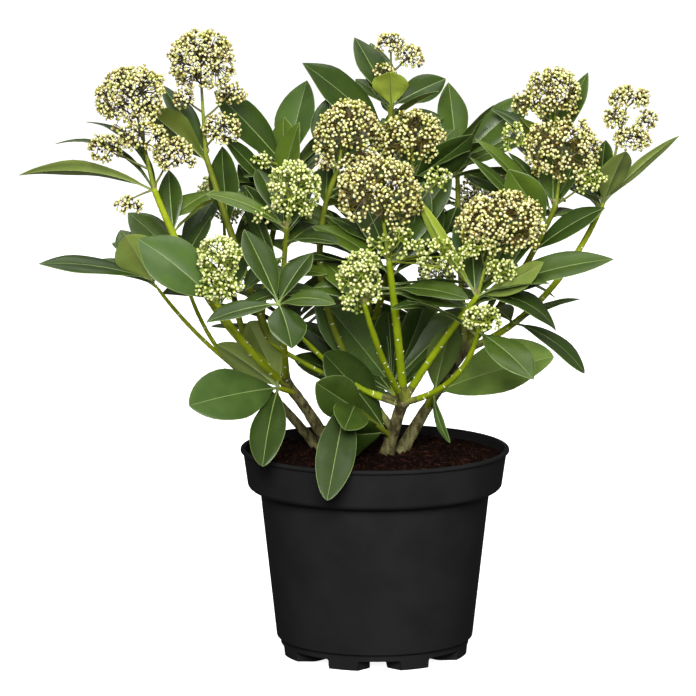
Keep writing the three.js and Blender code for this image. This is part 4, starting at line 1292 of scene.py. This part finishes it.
class SKIMMIA_OT_pot(Operator):
    """Turn the pot's outline on its axis, close it and cut the drain pockets"""

    bl_idname = "skimmia.pot"
    bl_label = "Pot"

    def execute(self, context):
        profile = [(radius * MM, height * MM) for radius, height in pot_profile()]
        bpy.ops.object.select_all(action="DESELECT")
        sides = settings("pot").sides
        bpy.ops.mesh.primitive_circle_add(vertices=sides, radius=profile[0][0], location=(0, 0, 0))
        pot = context.active_object
        pot.name = pot.data.name = "pot_moulding"
        bpy.ops.object.mode_set(mode="EDIT")
        bpy.ops.mesh.select_mode(type="EDGE")
        bpy.ops.mesh.select_all(action="SELECT")
        bpy.ops.mesh.extrude_region_move()
        bpy.ops.mesh.select_all(action="INVERT")
        bpy.ops.mesh.edge_face_add()
        bpy.ops.mesh.select_all(action="INVERT")
        for (radius, height), (next_radius, next_height) in zip(profile, profile[1:]):
            bpy.ops.mesh.extrude_region_move(TRANSFORM_OT_translate={"value": (0, 0, next_height - height)})
            share = next_radius / radius
            bpy.ops.transform.resize(value=(share, share, 1), center_override=(0, 0, next_height))
        bpy.ops.mesh.edge_face_add()
        bpy.ops.mesh.select_all(action="SELECT")
        bpy.ops.mesh.remove_doubles(threshold=1e-6)
        bpy.ops.mesh.normals_make_consistent(inside=False)
        bpy.ops.object.mode_set(mode="OBJECT")
        for i in range(DRAIN["count"]):
            self.cut_pocket(context, pot, math.radians(DRAIN["turn"] + 360 / DRAIN["count"] * i))
        colour = tuple(settings("pot").colour)
        plastic = surface_finish("pot_plastic", colour, tinted(colour, 1.25, 1.25, 1.25), (0.55, 0.65),
                                 patch_scale=35, grain=1800, bump=0.06, specular=0.02)
        pot.data.materials.append(plastic)
        smooth(pot, CRISP["pot"])
        seat(pot, "pot", "pot")
        return {"FINISHED"}

    def cut_pocket(self, context, pot, turn):
        """Cut one drain pocket: a wide mouth that narrows to a neck."""
        lead = POT["foot_radius"] - DRAIN["lead"]
        wide, neck = DRAIN["wide"] / 2, DRAIN["neck"] / 2
        side = [(POT["lip_radius"], wide), (lead, wide), (lead - DRAIN["funnel"], neck)]
        side += [(POT["foot_radius"] - DRAIN["deep"], neck)]
        plan = side + [(out, -across) for out, across in reversed(side)]
        corners = []
        for height in (-DRAIN["tall"], DRAIN["tall"]):
            for out, across in plan:
                x = out * math.cos(turn) - across * math.sin(turn)
                y = out * math.sin(turn) + across * math.cos(turn)
                corners.append(Vector((x, y, height)) * MM)
        around = range(len(plan))
        faces = [tuple(reversed(around)), tuple(len(plan) + i for i in around)]
        for i in around:
            j = (i + 1) % len(plan)
            faces.append((i, j, j + len(plan), i + len(plan)))
        shape = Gathered(["cut"])
        shape.add(corners, faces, "cut")
        cutter = shape.piece("pocket", {"cut": None})
        bevel = cutter.modifiers.new("rounding", "BEVEL")
        bevel.width = DRAIN["rounding"] * MM
        bevel.segments = 3
        bpy.ops.object.modifier_apply(modifier=bevel.name)
        bpy.ops.object.select_all(action="DESELECT")
        pot.select_set(True)
        context.view_layer.objects.active = pot
        cut = pot.modifiers.new("pocket", "BOOLEAN")
        cut.operation = "DIFFERENCE"
        cut.object = cutter
        bpy.ops.object.modifier_apply(modifier=cut.name)
        bpy.data.objects.remove(cutter)


def ball():
    """Corners and faces of a ball of twenty faces."""
    bpy.ops.object.select_all(action="DESELECT")
    bpy.ops.mesh.primitive_ico_sphere_add(subdivisions=1, radius=1)
    start = bpy.context.active_object
    corners = [vertex.co.copy() for vertex in start.data.vertices]
    faces = [tuple(polygon.vertices) for polygon in start.data.polygons]
    bpy.data.objects.remove(start)
    return corners, faces


COMPOST_RINGS = 34
COMPOST_SIDES = 96
COMPOST_GAP = 0.3 * MM
COMPOST_INSET = POT["wall"] * MM + COMPOST_GAP
# Lumps: how close together and how tall in millimetres, and how far their middle lies under the ground
COMPOST_LUMPS = ((75, 2.2), (210, 1.3), (520, 0.7))
COMPOST_SINK = 1.2
# Finishes by shares of the colour: main and patch, then roughness, patch scale, grain, bump and gloss
COMPOST_LOOKS = {
    "soil": ((0.5, 0.5, 0.5), (0.25, 0.25, 0.25), (0.85, 1), 220, 1500, 0.8, 0.05),
    "crumb": ((1, 1, 1), (0.45, 0.42, 0.4), (0.8, 1), 300, 2500, 0.6, 0.05),
    "fibre": ((3.2, 2.0, 1.5), (1.6, 1.1, 1), (0.8, 1), 300, 2500, 0.3, 0.2),
}
COMPOST_SEED = 31
# Crumbs and fibres, in millimetres and shares
CRUMB = {"inset": 2, "size": (0.5, 1.2), "share": (0.6, 1.9), "lift": 0.3, "lump": (0.65, 1.25)}
FIBRE = {"inset": 6, "long": (3, 9), "foot": 0.4, "tip": (0.3, 1.6), "thick": 0.3, "thin": 0.2, "arch": 1}


def compost_height(x, y):
    place = Vector((x, y, 0))
    lumps = sum(noise.noise(place * close) * tall for close, tall in COMPOST_LUMPS)
    return GROUND + (lumps - COMPOST_SINK) * MM


class SKIMMIA_OT_compost(Operator):
    """Fill the pot with lumpy compost, and strew crumbs and fibres on it"""

    bl_idname = "skimmia.compost"
    bl_label = "Compost"

    def execute(self, context):
        colour = tuple(settings("compost").colour)
        finishes = {}
        for name, (main, patch, rough, scale, grain, bump, gloss) in COMPOST_LOOKS.items():
            finishes[name] = surface_finish(
                f"compost_{name}", tinted(colour, *main), tinted(colour, *patch), rough, scale, grain, bump,
                specular=gloss)
        compost = Gathered(finishes)
        self.fill(compost)
        self.strew(compost, Draws(COMPOST_SEED))
        piece = compost.piece("compost_fill", finishes, CRISP["compost"])
        seat(piece, "compost", "compost")
        return {"FINISHED"}

    def edge(self):
        """Radius of the compost where it meets the inside of the pot's band."""
        low, high = POT["band_foot"], POT["tall"] - POT["lip_tall"]
        wider = POT["band_high_radius"] - POT["band_low_radius"]
        share = (GROUND / MM - low) / (high - low)
        return (POT["band_low_radius"] + wider * share) * MM - COMPOST_INSET

    def fill(self, compost):
        edge = self.edge()
        rings = [edge * (i + 1) / COMPOST_RINGS for i in range(COMPOST_RINGS)]
        corners = [Vector((0, 0, compost_height(0, 0)))]
        rows = [(radius, None) for radius in rings]
        rows += [(POT["band_low_radius"] * MM - COMPOST_INSET, POT["band_foot"] * MM)]
        rows += [(POT["body_high_radius"] * MM - COMPOST_INSET, POT["body_tall"] * MM)]
        rows += [(POT["foot_radius"] * MM - COMPOST_INSET, POT["floor"] * MM + COMPOST_GAP)]
        for radius, height in rows:
            for i in range(COMPOST_SIDES):
                angle = 2 * math.pi * i / COMPOST_SIDES
                x, y = radius * math.cos(angle), radius * math.sin(angle)
                corners.append(Vector((x, y, compost_height(x, y) if height is None else height)))
        faces = [(0, 1 + i, 1 + (i + 1) % COMPOST_SIDES) for i in range(COMPOST_SIDES)]
        for row in range(len(rows) - 1):
            for i in range(COMPOST_SIDES):
                near = 1 + row * COMPOST_SIDES + i
                far = 1 + row * COMPOST_SIDES + (i + 1) % COMPOST_SIDES
                faces.append((near, near + COMPOST_SIDES, far + COMPOST_SIDES, far))
        faces.append(tuple(range(len(corners) - 1, len(corners) - 1 - COMPOST_SIDES, -1)))
        compost.add(corners, faces, "soil")

    def spot(self, draws, reach):
        """Random place within a reach of the middle."""
        radius = reach * math.sqrt(draws.next())
        angle = draws.between(0, 2 * math.pi)
        return radius * math.cos(angle), radius * math.sin(angle)

    def strew(self, compost, draws):
        shape, faces = ball()
        reach = self.edge() - CRUMB["inset"] * MM
        for _ in range(settings("compost").crumbs):
            x, y = self.spot(draws, reach)
            size = draws.between(*CRUMB["size"]) * draws.between(*CRUMB["share"]) * MM
            middle = Vector((x, y, compost_height(x, y) + size * CRUMB["lift"]))
            corners = [middle + corner * (size * draws.between(*CRUMB["lump"])) for corner in shape]
            compost.add(corners, faces, draws.pick(("crumb", "crumb", "soil")))
        for _ in range(settings("compost").fibres):
            x, y = self.spot(draws, reach - FIBRE["inset"] * MM)
            way = draws.between(0, 2 * math.pi)
            long = draws.between(*FIBRE["long"]) * MM
            start = Vector((x, y, compost_height(x, y) + FIBRE["foot"] * MM))
            end = Vector((x + long * math.cos(way), y + long * math.sin(way), 0))
            end.z = compost_height(end.x, end.y) + draws.between(*FIBRE["tip"]) * MM
            twig(compost, start, end, FIBRE["thick"] * MM, FIBRE["thin"] * MM, "fibre", 3,
                 draws.spread(FIBRE["arch"]) * MM)


TRUNK_SIDES = 26
TRUNK_STEP = 1.3 * MM
TRUNK_SUNK = 0.55
TRUNK_SLIM = 0.87
KNUCKLE_SWELL = 0.22
KNUCKLE_REACH = 4 * MM
CROWN_ANGLES = (25, 50, 70, 84)
CROWN_TALL = 0.8
# Bark: shades of its colour, and how close and how strong its ridges, lumps, rings and streaks are
BARK_SHADES = {"bark": (1, 1, 1), "pale": (1.5, 1.5, 1.45), "dark": (0.5, 0.46, 0.42)}
RIDGE_ACROSS, RIDGE_ALONG, RIDGE_TALL = 330, 70, 0.1
LUMP_CLOSE, LUMP_TALL = 120, 0.07
RING_CLOSE, RING_TALL = 260, 0.03
STREAK_ACROSS, STREAK_ALONG = 420, 95
PALE_ABOVE, DARK_BELOW = 0.12, -0.28


class SKIMMIA_OT_trunks(Operator):
    """Grow the woody trunks, with ridged bark, a flared foot and a knuckle at the fork"""

    bl_idname = "skimmia.trunks"
    bl_label = "Trunks"

    def execute(self, context):
        colour = tuple(settings("bark").trunk_colour)
        finishes = {}
        for name, shade in BARK_SHADES.items():
            skin = tinted(colour, *shade)
            finishes[name] = surface_finish(
                f"trunk_{name}", skin, tinted(skin, 0.55, 0.52, 0.48), (0.7, 0.95), patch_scale=150,
                grain=420, bump=0.9, stretch=(1, 1, 0.25), specular=0.25)
        bark = Gathered(finishes)
        for trunk, line in grow_plan()[0]:
            self.grow(bark, trunk, line)
        piece = bark.piece("trunk_bark", finishes, CRISP["bark"])
        seat(piece, "bark", *[f"trunk_{trunk['name']}" for trunk in TRUNKS])
        return {"FINISHED"}

    def grow(self, bark, trunk, line):
        buried = BELOW_GROUND / line.length
        first = buried * TRUNK_SUNK
        steps = int(line.length * (1 - first) / TRUNK_STEP)
        shares = [first + (1 - first) * i / steps for i in range(steps + 1)]
        points = [line.at(share) for share in shares]
        radii = []
        for share in shares:
            above = max(share - buried, 0)
            radius = (trunk["thick"] + (trunk["thin"] - trunk["thick"]) * above) / 2 * MM
            radius *= 1 + ROOT_FLARE * math.exp(-FLARE_FADE * above)
            knuckle = math.exp(-((1 - share) * line.length / KNUCKLE_REACH) ** 2)
            radii.append(radius * (TRUNK_SLIM + KNUCKLE_SWELL * knuckle))
        crown = (points[-1] - points[-2]).normalized()
        last = radii[-1]
        for angle in CROWN_ANGLES:
            turn = math.radians(angle)
            points.append(line.at(1) + crown * (last * CROWN_TALL * math.sin(turn)))
            radii.append(last * math.cos(turn))

        def relief(place):
            across = Vector((place.x * RIDGE_ACROSS, place.y * RIDGE_ACROSS, place.z * RIDGE_ALONG))
            ridges = noise.noise(across)
            lumps = noise.noise(place * LUMP_CLOSE)
            rings = noise.noise(Vector((place.z * RING_CLOSE, trunk["thick"], 0)))
            return 1 + RIDGE_TALL * ridges + LUMP_TALL * lumps + RING_TALL * rings

        corners, faces = tube(points, radii, TRUNK_SIDES, relief)
        marks = []
        for face in faces:
            place = sum((corners[i] for i in face), Vector()) / len(face)
            along = place.z * STREAK_ALONG + trunk["thick"]
            streak = noise.noise(Vector((place.x * STREAK_ACROSS, place.y * STREAK_ACROSS, along)))
            marks.append("pale" if streak > PALE_ABOVE else "dark" if streak < DARK_BELOW else "bark")
        bark.add(corners, faces, marks)


STEM_SIDES = 12
STEM_STEP = 2.2 * MM
FEWEST_STEPS = 6
COLLAR_SWELL = 0.35
COLLAR_REACH = 5 * MM
JOINT_SWELL = 0.035
WOODY_REACH = 14 * MM
# A stem without a head closes from a place on, by a share of its radius
SHUT_FROM = 0.86
SHUT_SHARE = 0.65
CAP_TALL = 0.6
CAP_SHARE = 0.5
STEM_LUMP_CLOSE, STEM_LUMP_TALL = 160, 0.06
STEM_GRAIN_CLOSE, STEM_GRAIN_TALL = 520, 0.03
# Skins of the stems by shares of the stem colour, main and patch; the inner and shaded ones are darker
# copies, painted shade
STEM_SKINS = {"young": ((1, 1, 1), (0.72, 0.8, 0.7)), "inner": ((0.74, 0.81, 0.5), (0.55, 0.66, 0.35)),
              "shaded": ((0.45, 0.46, 0.9), (0.3, 0.32, 0.5))}
STEM_STRETCH = (1, 1, 0.3)
# Leaf scars: half width and height in millimetres, and shares of the stem's radius
SCAR_STEP = 5.6 * MM
SCAR = {"half": (0.9, 1.4), "tall": (0.38, 0.62), "peak": 0.45, "lift": 1.04, "rim": 0.1, "back": 0.4,
        "corners": 8, "least": 0.2, "step": 0.01}


class SKIMMIA_OT_stems(Operator):
    """Grow the green boughs and leafy stems, with pale leaf scars up their sides"""

    bl_idname = "skimmia.stems"
    bl_label = "Boughs and stems"

    def execute(self, context):
        colour = tuple(settings("bark").stem_colour)
        trunk = tuple(settings("bark").trunk_colour)
        old = tuple((a + b) / 2 for a, b in zip(colour, trunk))
        finishes = {}
        for name, (main, patch) in STEM_SKINS.items():
            finishes[name] = surface_finish(
                f"stem_{name}", tinted(colour, *main), tinted(colour, *patch), (0.42, 0.6), patch_scale=90,
                grain=900, bump=0.12, stretch=STEM_STRETCH, specular=0.2)
        finishes["old"] = surface_finish(
            "stem_old", tinted(old, 0.9, 0.9, 0.9), tinted(trunk, 0.6, 0.6, 0.55), (0.6, 0.8),
            patch_scale=110, grain=600, bump=0.4, stretch=STEM_STRETCH)
        finishes["scar"] = surface_finish(
            "leaf_scar", linear(252, 252, 236), linear(244, 242, 210), (0.6, 0.75), patch_scale=300,
            grain=1500, bump=0.2)
        stems = Gathered(finishes)
        _, shoots, twigs = grow_plan()
        for shoot in shoots + twigs:
            self.grow(stems, shoot)
        piece = stems.piece("stem_bark", finishes, CRISP["bark"])
        seat(piece, "green_bark", *[f"bough_{shoot.name}" for shoot in shoots if shoot.has_bough])
        return {"FINISHED"}

    def grow(self, stems, shoot):
        line = shoot.line
        steps = max(int(line.length / STEM_STEP), FEWEST_STEPS)
        shares = [i / steps for i in range(steps + 1)]
        points = [line.at(share) for share in shares]
        radii = []
        for share in shares:
            collar = 1 + COLLAR_SWELL * math.exp(-share * line.length / COLLAR_REACH)
            joint = 1 + JOINT_SWELL * math.cos(2 * math.pi * share * line.length / SCAR_STEP)
            shut = 1 if shoot.row["heads"] else 1 - SHUT_SHARE * smoothstep(share, SHUT_FROM, 1)
            radii.append(shoot.radius(share) * collar * joint * shut)
        points.append(points[-1] + (points[-1] - points[-2]).normalized() * radii[-1] * CAP_TALL)
        radii.append(radii[-1] * CAP_SHARE)

        def relief(place):
            lumps = STEM_LUMP_TALL * noise.noise(place * STEM_LUMP_CLOSE)
            return 1 + lumps + STEM_GRAIN_TALL * noise.noise(place * STEM_GRAIN_CLOSE)

        corners, faces = tube(points, radii, STEM_SIDES, relief)
        woody = WOODY_REACH / line.length if shoot.has_bough else 0
        # Stems deep in the crown take the darker skins, painted shade
        skin = "shaded" if shoot.name in SHADED else "inner" if shoot.name in INNER_SHADE else "young"
        marks = []
        for row in range(len(points) - 1):
            marks += ["old" if row / steps < woody else skin] * STEM_SIDES
        stems.add(corners, faces, marks + [skin, skin])
        self.scars(stems, shoot)

    def scars(self, stems, shoot):
        """Pale crescents where older leaves have dropped, wound up the stem."""
        line = shoot.line
        draws = shoot.fancy
        around = range(SCAR["corners"])
        turn = draws.between(0, 2 * math.pi)
        for i in range(1, int(line.length * max(shoot.split, SCAR["least"]) / SCAR_STEP)):
            share = i * SCAR_STEP / line.length
            ahead = (line.at(share + SCAR["step"]) - line.at(share - SCAR["step"])).normalized()
            side = ahead.orthogonal().normalized()
            turn += GOLDEN
            out = side * math.cos(turn) + ahead.cross(side) * math.sin(turn)
            across = ahead.cross(out)
            radius = shoot.radius(share)
            centre = line.at(share) + out * radius * SCAR["lift"]
            half = draws.between(*SCAR["half"]) * MM
            tall = draws.between(*SCAR["tall"]) * MM
            corners = []
            for k in around:
                angle = 2 * math.pi * k / SCAR["corners"]
                corners.append(centre + across * half * math.cos(angle) + ahead * tall * math.sin(angle)
                               - out * radius * SCAR["rim"])
            peak, back = len(corners), len(corners) + 1
            corners += [centre + out * SCAR["peak"] * MM, centre - out * radius * SCAR["back"]]
            faces = [(k, (k + 1) % SCAR["corners"], peak) for k in around]
            faces += [((k + 1) % SCAR["corners"], k, back) for k in around]
            stems.add(corners, faces, "scar")


# Shades of the leaves as shares of the colours in the settings. Beside real tones of common, young and old
# leaves,
# some are painted light: the deep upper face and the dull underside are painted shade, the bluish and pale
# ones painted sheen, and the brightest undersides painted light
LEAF_TOPS = {"top_deep": (0.62, 0.66, 0.72), "top_mid": (1, 1, 1), "top_fresh": (1.5, 1.4, 1.15),
             "top_old": (1.2, 1.22, 1.9), "top_dusk": (0.76, 0.7, 1.6), "top_pale": (2.2, 1.95, 2.9)}
LEAF_UNDERS = {"under_mid": (1, 1, 1), "under_fresh": (1.7, 1.62, 1), "under_dull": (0.5, 0.56, 0.62),
               "under_olive": (0.55, 0.56, 0.35), "under_pale": (1.3, 1.3, 1.5),
               "under_light": (2.6, 2.45, 1.8)}
# Upper faces drawn for low and high leaves; the old and deep ones carry painted sheen and painted shade
# beside their own tone
LOW_TOPS = ("top_old", "top_old", "top_deep", "top_mid")
HIGH_TOPS = ("top_mid", "top_deep", "top_deep", "top_mid", "top_mid", "top_fresh")
SHOWN_UNDERS = ("under_mid", "under_mid", "under_dull", "under_olive")


def leaf_finishes():
    upper = tuple(settings("leaves").upper_colour)
    under = tuple(settings("leaves").under_colour)
    rib = tuple(settings("leaves").rib_colour)
    finishes = {}
    for name, shade in LEAF_TOPS.items():
        colour = tinted(upper, *shade)
        finishes[name] = surface_finish(f"leaf_{name}", colour, tinted(colour, 0.74, 0.78, 0.8), (0.26, 0.38),
                                        patch_scale=70, grain=650, bump=0.1, specular=0.32)
    for name, shade in LEAF_UNDERS.items():
        colour = tinted(under, *shade)
        finishes[name] = surface_finish(f"leaf_{name}", colour, tinted(colour, 0.8, 0.86, 0.8), (0.5, 0.62),
                                        patch_scale=80, grain=650, bump=0.14)
    ribs = {"rib": ("leaf_rib", rib, tinted(rib, 0.75, 0.8, 0.7), (0.4, 0.5)),
            "margin": ("leaf_margin", tinted(rib, 0.85, 0.88, 0.85), tinted(rib, 0.5, 0.56, 0.5), (0.4, 0.5)),
            "under_rib": ("leaf_under_rib", tinted(rib, 1.1, 1.1, 1), rib, (0.5, 0.6)),
            "bract": ("bud_scale", linear(196, 176, 128), linear(168, 160, 96), (0.55, 0.7))}
    for name, look in ribs.items():
        finishes[name] = surface_finish(*look, grain=900)
    return finishes


# Bud scales under a head: how many, where, and their numbers in millimetres and degrees
SCALES = {"count": 5, "place": 0.985, "spread": 20, "rise": (50, 75), "long": (5, 8), "wide": (2.6, 3.6),
          "droop": 20}


class SKIMMIA_OT_leaves(Operator):
    """Grow the leaves of every shoot where the packed masses have them"""

    bl_idname = "skimmia.leaves"
    bl_label = "Leaves"

    def execute(self, context):
        finishes = leaf_finishes()
        gathered = {side: Gathered(finishes) for side in SIDES}
        nodes = {side: [] for side in SIDES}
        shoots = grow_plan()[1]
        room = Room(shoots)
        for shoot in shoots:
            side = shoot.side()
            leaves = grown_leaves(shoot) + room.fill(shoot)
            leaves += [shoot.further_leaf(row) for row in EXTRA.get(shoot.name, ())]
            if not leaves:
                raise RuntimeError(f"no leaf of {shoot.name} was found in its mass")
            for leaf in leaves:
                self.grow(gathered[side], leaf, shoot)
            self.scales(gathered[side], shoot)
            nodes[side].append(shoot.node)
        for side in SIDES:
            piece = gathered[side].piece(f"leaves_{side}", finishes, CRISP["leaves"])
            seat(piece, "foliage", *nodes[side])
        return {"FINISHED"}

    def grow(self, gathered, leaf, shoot):
        draws = shoot.fancy
        tops = LOW_TOPS if leaf.rib(0.5)[0].z < LOW_LEAF else HIGH_TOPS
        # Leaves of the rule and further leaves all get the dull underside, a painted shade
        unders = SHOWN_UNDERS if leaf.station == SHOWN_STATION else ("under_dull",)
        top, under = leaf.finishes or (draws.pick(tops), draws.pick(unders))
        add_leaf(gathered, leaf, draws, top, under)

    def scales(self, gathered, shoot):
        """Small pale bud scales round the top of a stem that carries a head."""
        if not shoot.row["heads"]:
            return
        draws = shoot.fancy
        for i in range(SCALES["count"]):
            bearing = DIVERGENCE * i + draws.spread(SCALES["spread"])
            rise = draws.between(*SCALES["rise"])
            long = draws.between(*SCALES["long"]) * MM
            wide = draws.between(*SCALES["wide"]) * MM
            scale = Leaf(shoot.stem(SCALES["place"]), bearing, rise, long, wide, SCALES["droop"], 0, 1)
            add_leaf(gathered, scale, draws, "bract", "bract")


# Buds by shares of the bud colour, main and patch, and scales of their patches and grain; the olive, rosy and
# green shares colour lower halves, their tint darkened with painted shade
BUD_TINTS = {"bud_cream": ((1, 1, 1), (0.92, 0.94, 0.75)),
             "bud_pale": ((0.86, 0.95, 0.62), (0.76, 0.88, 0.46)),
             "bud_olive": ((0.47, 0.48, 0.11), (0.34, 0.35, 0.07)),
             "bud_rosy": ((0.53, 0.42, 0.15), (0.4, 0.3, 0.1)),
             "bud_green": ((0.5, 0.65, 0.21), (0.38, 0.53, 0.15))}
BUD_PATCHES, BUD_GRAIN = 400, 1500
BUD_ROUGH = (0.4, 0.55)
STALK_ROUGH = (0.5, 0.65)
STALK_GRAIN = 1200


def bud_finishes():
    bud = tuple(settings("heads").bud_colour)
    red = tuple(settings("heads").stalk_colour)
    green = tuple(settings("bark").stem_colour)
    looks = {}
    for name, (main, patch) in BUD_TINTS.items():
        looks[name] = (tinted(bud, *main), tinted(bud, *patch), BUD_ROUGH)
    looks["calyx_red"] = (tinted(red, 1.3, 1.3, 1.1), red, STALK_ROUGH)
    looks["calyx_olive"] = (linear(124, 120, 40), linear(92, 88, 26), STALK_ROUGH)
    looks["calyx_green"] = (tinted(green, 0.7, 0.8, 1.6), tinted(green, 0.5, 0.6, 1), STALK_ROUGH)
    return {name: surface_finish(name, *look, BUD_PATCHES, BUD_GRAIN) for name, look in looks.items()}


def stalk_finishes():
    red = tuple(settings("heads").stalk_colour)
    green = tuple(settings("bark").stem_colour)
    looks = {
        "stalk_red": (red, tinted(red, 0.6, 0.55, 0.55), STALK_ROUGH, 200),
        "stalk_olive": (linear(76, 66, 24), linear(52, 44, 16), STALK_ROUGH, 200),
        "stalk_green": (tinted(green, 0.62, 0.68, 1.2), tinted(green, 0.45, 0.5, 0.8), (0.45, 0.6), 200),
        "stalk_axis": (linear(122, 128, 58), linear(98, 92, 56), STALK_ROUGH, 140),
    }
    return {name: surface_finish(name, *look, STALK_GRAIN) for name, look in looks.items()}


class SKIMMIA_OT_heads(Operator):
    """Grow the flower heads: stalks, sprays, pedicels and round buds"""

    bl_idname = "skimmia.heads"
    bl_label = "Flower heads"

    def execute(self, context):
        skins = bud_finishes()
        stalk_skins = stalk_finishes()
        stalks = Gathered(stalk_skins)
        buds = {side: Gathered(skins) for side in SIDES}
        for shoot in grow_plan()[1]:
            main = None
            for row, turn in zip(shoot.row["heads"], shoot.turns):
                head = Head(shoot, row, turn, main)
                head.grow(buds[shoot.side()], stalks)
                main = main or head
        for side in SIDES:
            seat(buds[side].piece(f"buds_{side}", skins, CRISP["buds"]), "foliage")
        seat(stalks.piece("bud_stalks", stalk_skins, CRISP["stalks"]), "foliage")
        return {"FINISHED"}


# Stage: places of the lights, in metres, and their sizes
LIGHTS = (("key", (-0.08, -2.35, 1.4), 1.1), ("fill", (1.6, -1.9, 0.9), 1.6), ("top", (0.1, 0.3, 2.4), 2.2),
          ("back", (0.3, 2.0, 1.6), 1.6))
IMAGE_WIDTH_MM = 36
VIEW_REACH = 100
FLOOR = {"size": 40, "pale": (0.92, 0.92, 0.92, 1), "rough": 0.9, "glow": 0.92}
WHITE = (1, 1, 1, 1)


class SKIMMIA_OT_stage(Operator):
    """Set the pale floor, the soft light and the camera"""

    bl_idname = "skimmia.stage"
    bl_label = "Stage"

    def execute(self, context):
        stage = settings("stage")
        self.floor()
        for name, place, size in LIGHTS:
            power = getattr(stage, f"{name}_power")
            light = self.light(name, Vector(place), size, power, Vector(stage.target))
            light.visible_glossy = name != "back"
        world = context.scene.world or bpy.data.worlds.new("studio")
        context.scene.world = world
        world.use_nodes = True
        sky = world.node_tree.nodes["Background"]
        sky.inputs["Color"].default_value = WHITE
        sky.inputs["Strength"].default_value = stage.sky
        context.scene.view_settings.view_transform = "Standard"
        self.camera(context, stage)
        return {"FINISHED"}

    def floor(self):
        bpy.ops.object.select_all(action="DESELECT")
        bpy.ops.mesh.primitive_plane_add(size=FLOOR["size"], location=(0, 0, 0))
        floor = bpy.context.active_object
        floor.name = "floor"
        floor.visible_diffuse = False
        floor.visible_glossy = False
        pale = bpy.data.materials.new("floor_pale")
        pale.use_nodes = True
        shader = pale.node_tree.nodes["Principled BSDF"]
        shader.inputs["Base Color"].default_value = FLOOR["pale"]
        shader.inputs["Roughness"].default_value = FLOOR["rough"]
        shader.inputs["Emission Color"].default_value = WHITE
        shader.inputs["Emission Strength"].default_value = FLOOR["glow"]
        floor.data.materials.append(pale)

    def light(self, name, place, size, power, target):
        bpy.ops.object.light_add(type="AREA", location=place)
        light = bpy.context.active_object
        light.name = f"light_{name}"
        light.data.shape = "SQUARE"
        light.data.size = size
        light.data.energy = power
        light.rotation_euler = (target - place).to_track_quat("-Z", "Y").to_euler()
        return light

    def camera(self, context, stage):
        away = Vector((0, -math.cos(stage.elevation), math.sin(stage.elevation)))
        place = Vector(stage.target) + away * stage.distance
        bpy.ops.object.camera_add(location=place, rotation=(-away).to_track_quat("-Z", "Y").to_euler())
        camera = context.active_object
        camera.name = "camera"
        camera.data.sensor_width = IMAGE_WIDTH_MM
        camera.data.lens = IMAGE_WIDTH_MM * stage.distance / stage.view_width
        camera.data.clip_end = VIEW_REACH
        context.scene.camera = camera


OPERATORS = (SKIMMIA_OT_pot, SKIMMIA_OT_compost, SKIMMIA_OT_trunks, SKIMMIA_OT_stems, SKIMMIA_OT_leaves,
             SKIMMIA_OT_heads, SKIMMIA_OT_stage)
GROUPS = {"pot": PotSettings, "compost": CompostSettings, "bark": BarkSettings, "leaves": LeavesSettings,
          "heads": HeadsSettings, "stage": StageSettings}


class SKIMMIA_PT_sidebar(Panel):
    """Settings and steps of the plant"""

    bl_label = "Potted skimmia"
    bl_idname = "SKIMMIA_PT_sidebar"
    bl_space_type = "VIEW_3D"
    bl_region_type = "UI"
    bl_category = "Skimmia"

    def draw(self, context):
        for name, group in GROUPS.items():
            box = self.layout.box()
            box.label(text=group.__doc__)
            for label in group.__annotations__:
                box.prop(getattr(context.scene, f"skimmia_{name}"), label)
        for operator in OPERATORS:
            self.layout.operator(operator.bl_idname)


CLASSES = (*GROUPS.values(), *OPERATORS, SKIMMIA_PT_sidebar)


def register():
    for item in CLASSES:
        bpy.utils.register_class(item)
    for name, group in GROUPS.items():
        setattr(bpy.types.Scene, f"skimmia_{name}", PointerProperty(type=group))


def unregister():
    for name in GROUPS:
        delattr(bpy.types.Scene, f"skimmia_{name}")
    for item in reversed(CLASSES):
        bpy.utils.unregister_class(item)


def main():
    register()
    bpy.ops.skimmia.pot()
    bpy.ops.skimmia.compost()
    bpy.ops.skimmia.trunks()
    bpy.ops.skimmia.stems()
    bpy.ops.skimmia.leaves()
    bpy.ops.skimmia.heads()
    bpy.ops.skimmia.stage()
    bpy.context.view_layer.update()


if __name__ == "__main__":
    main()
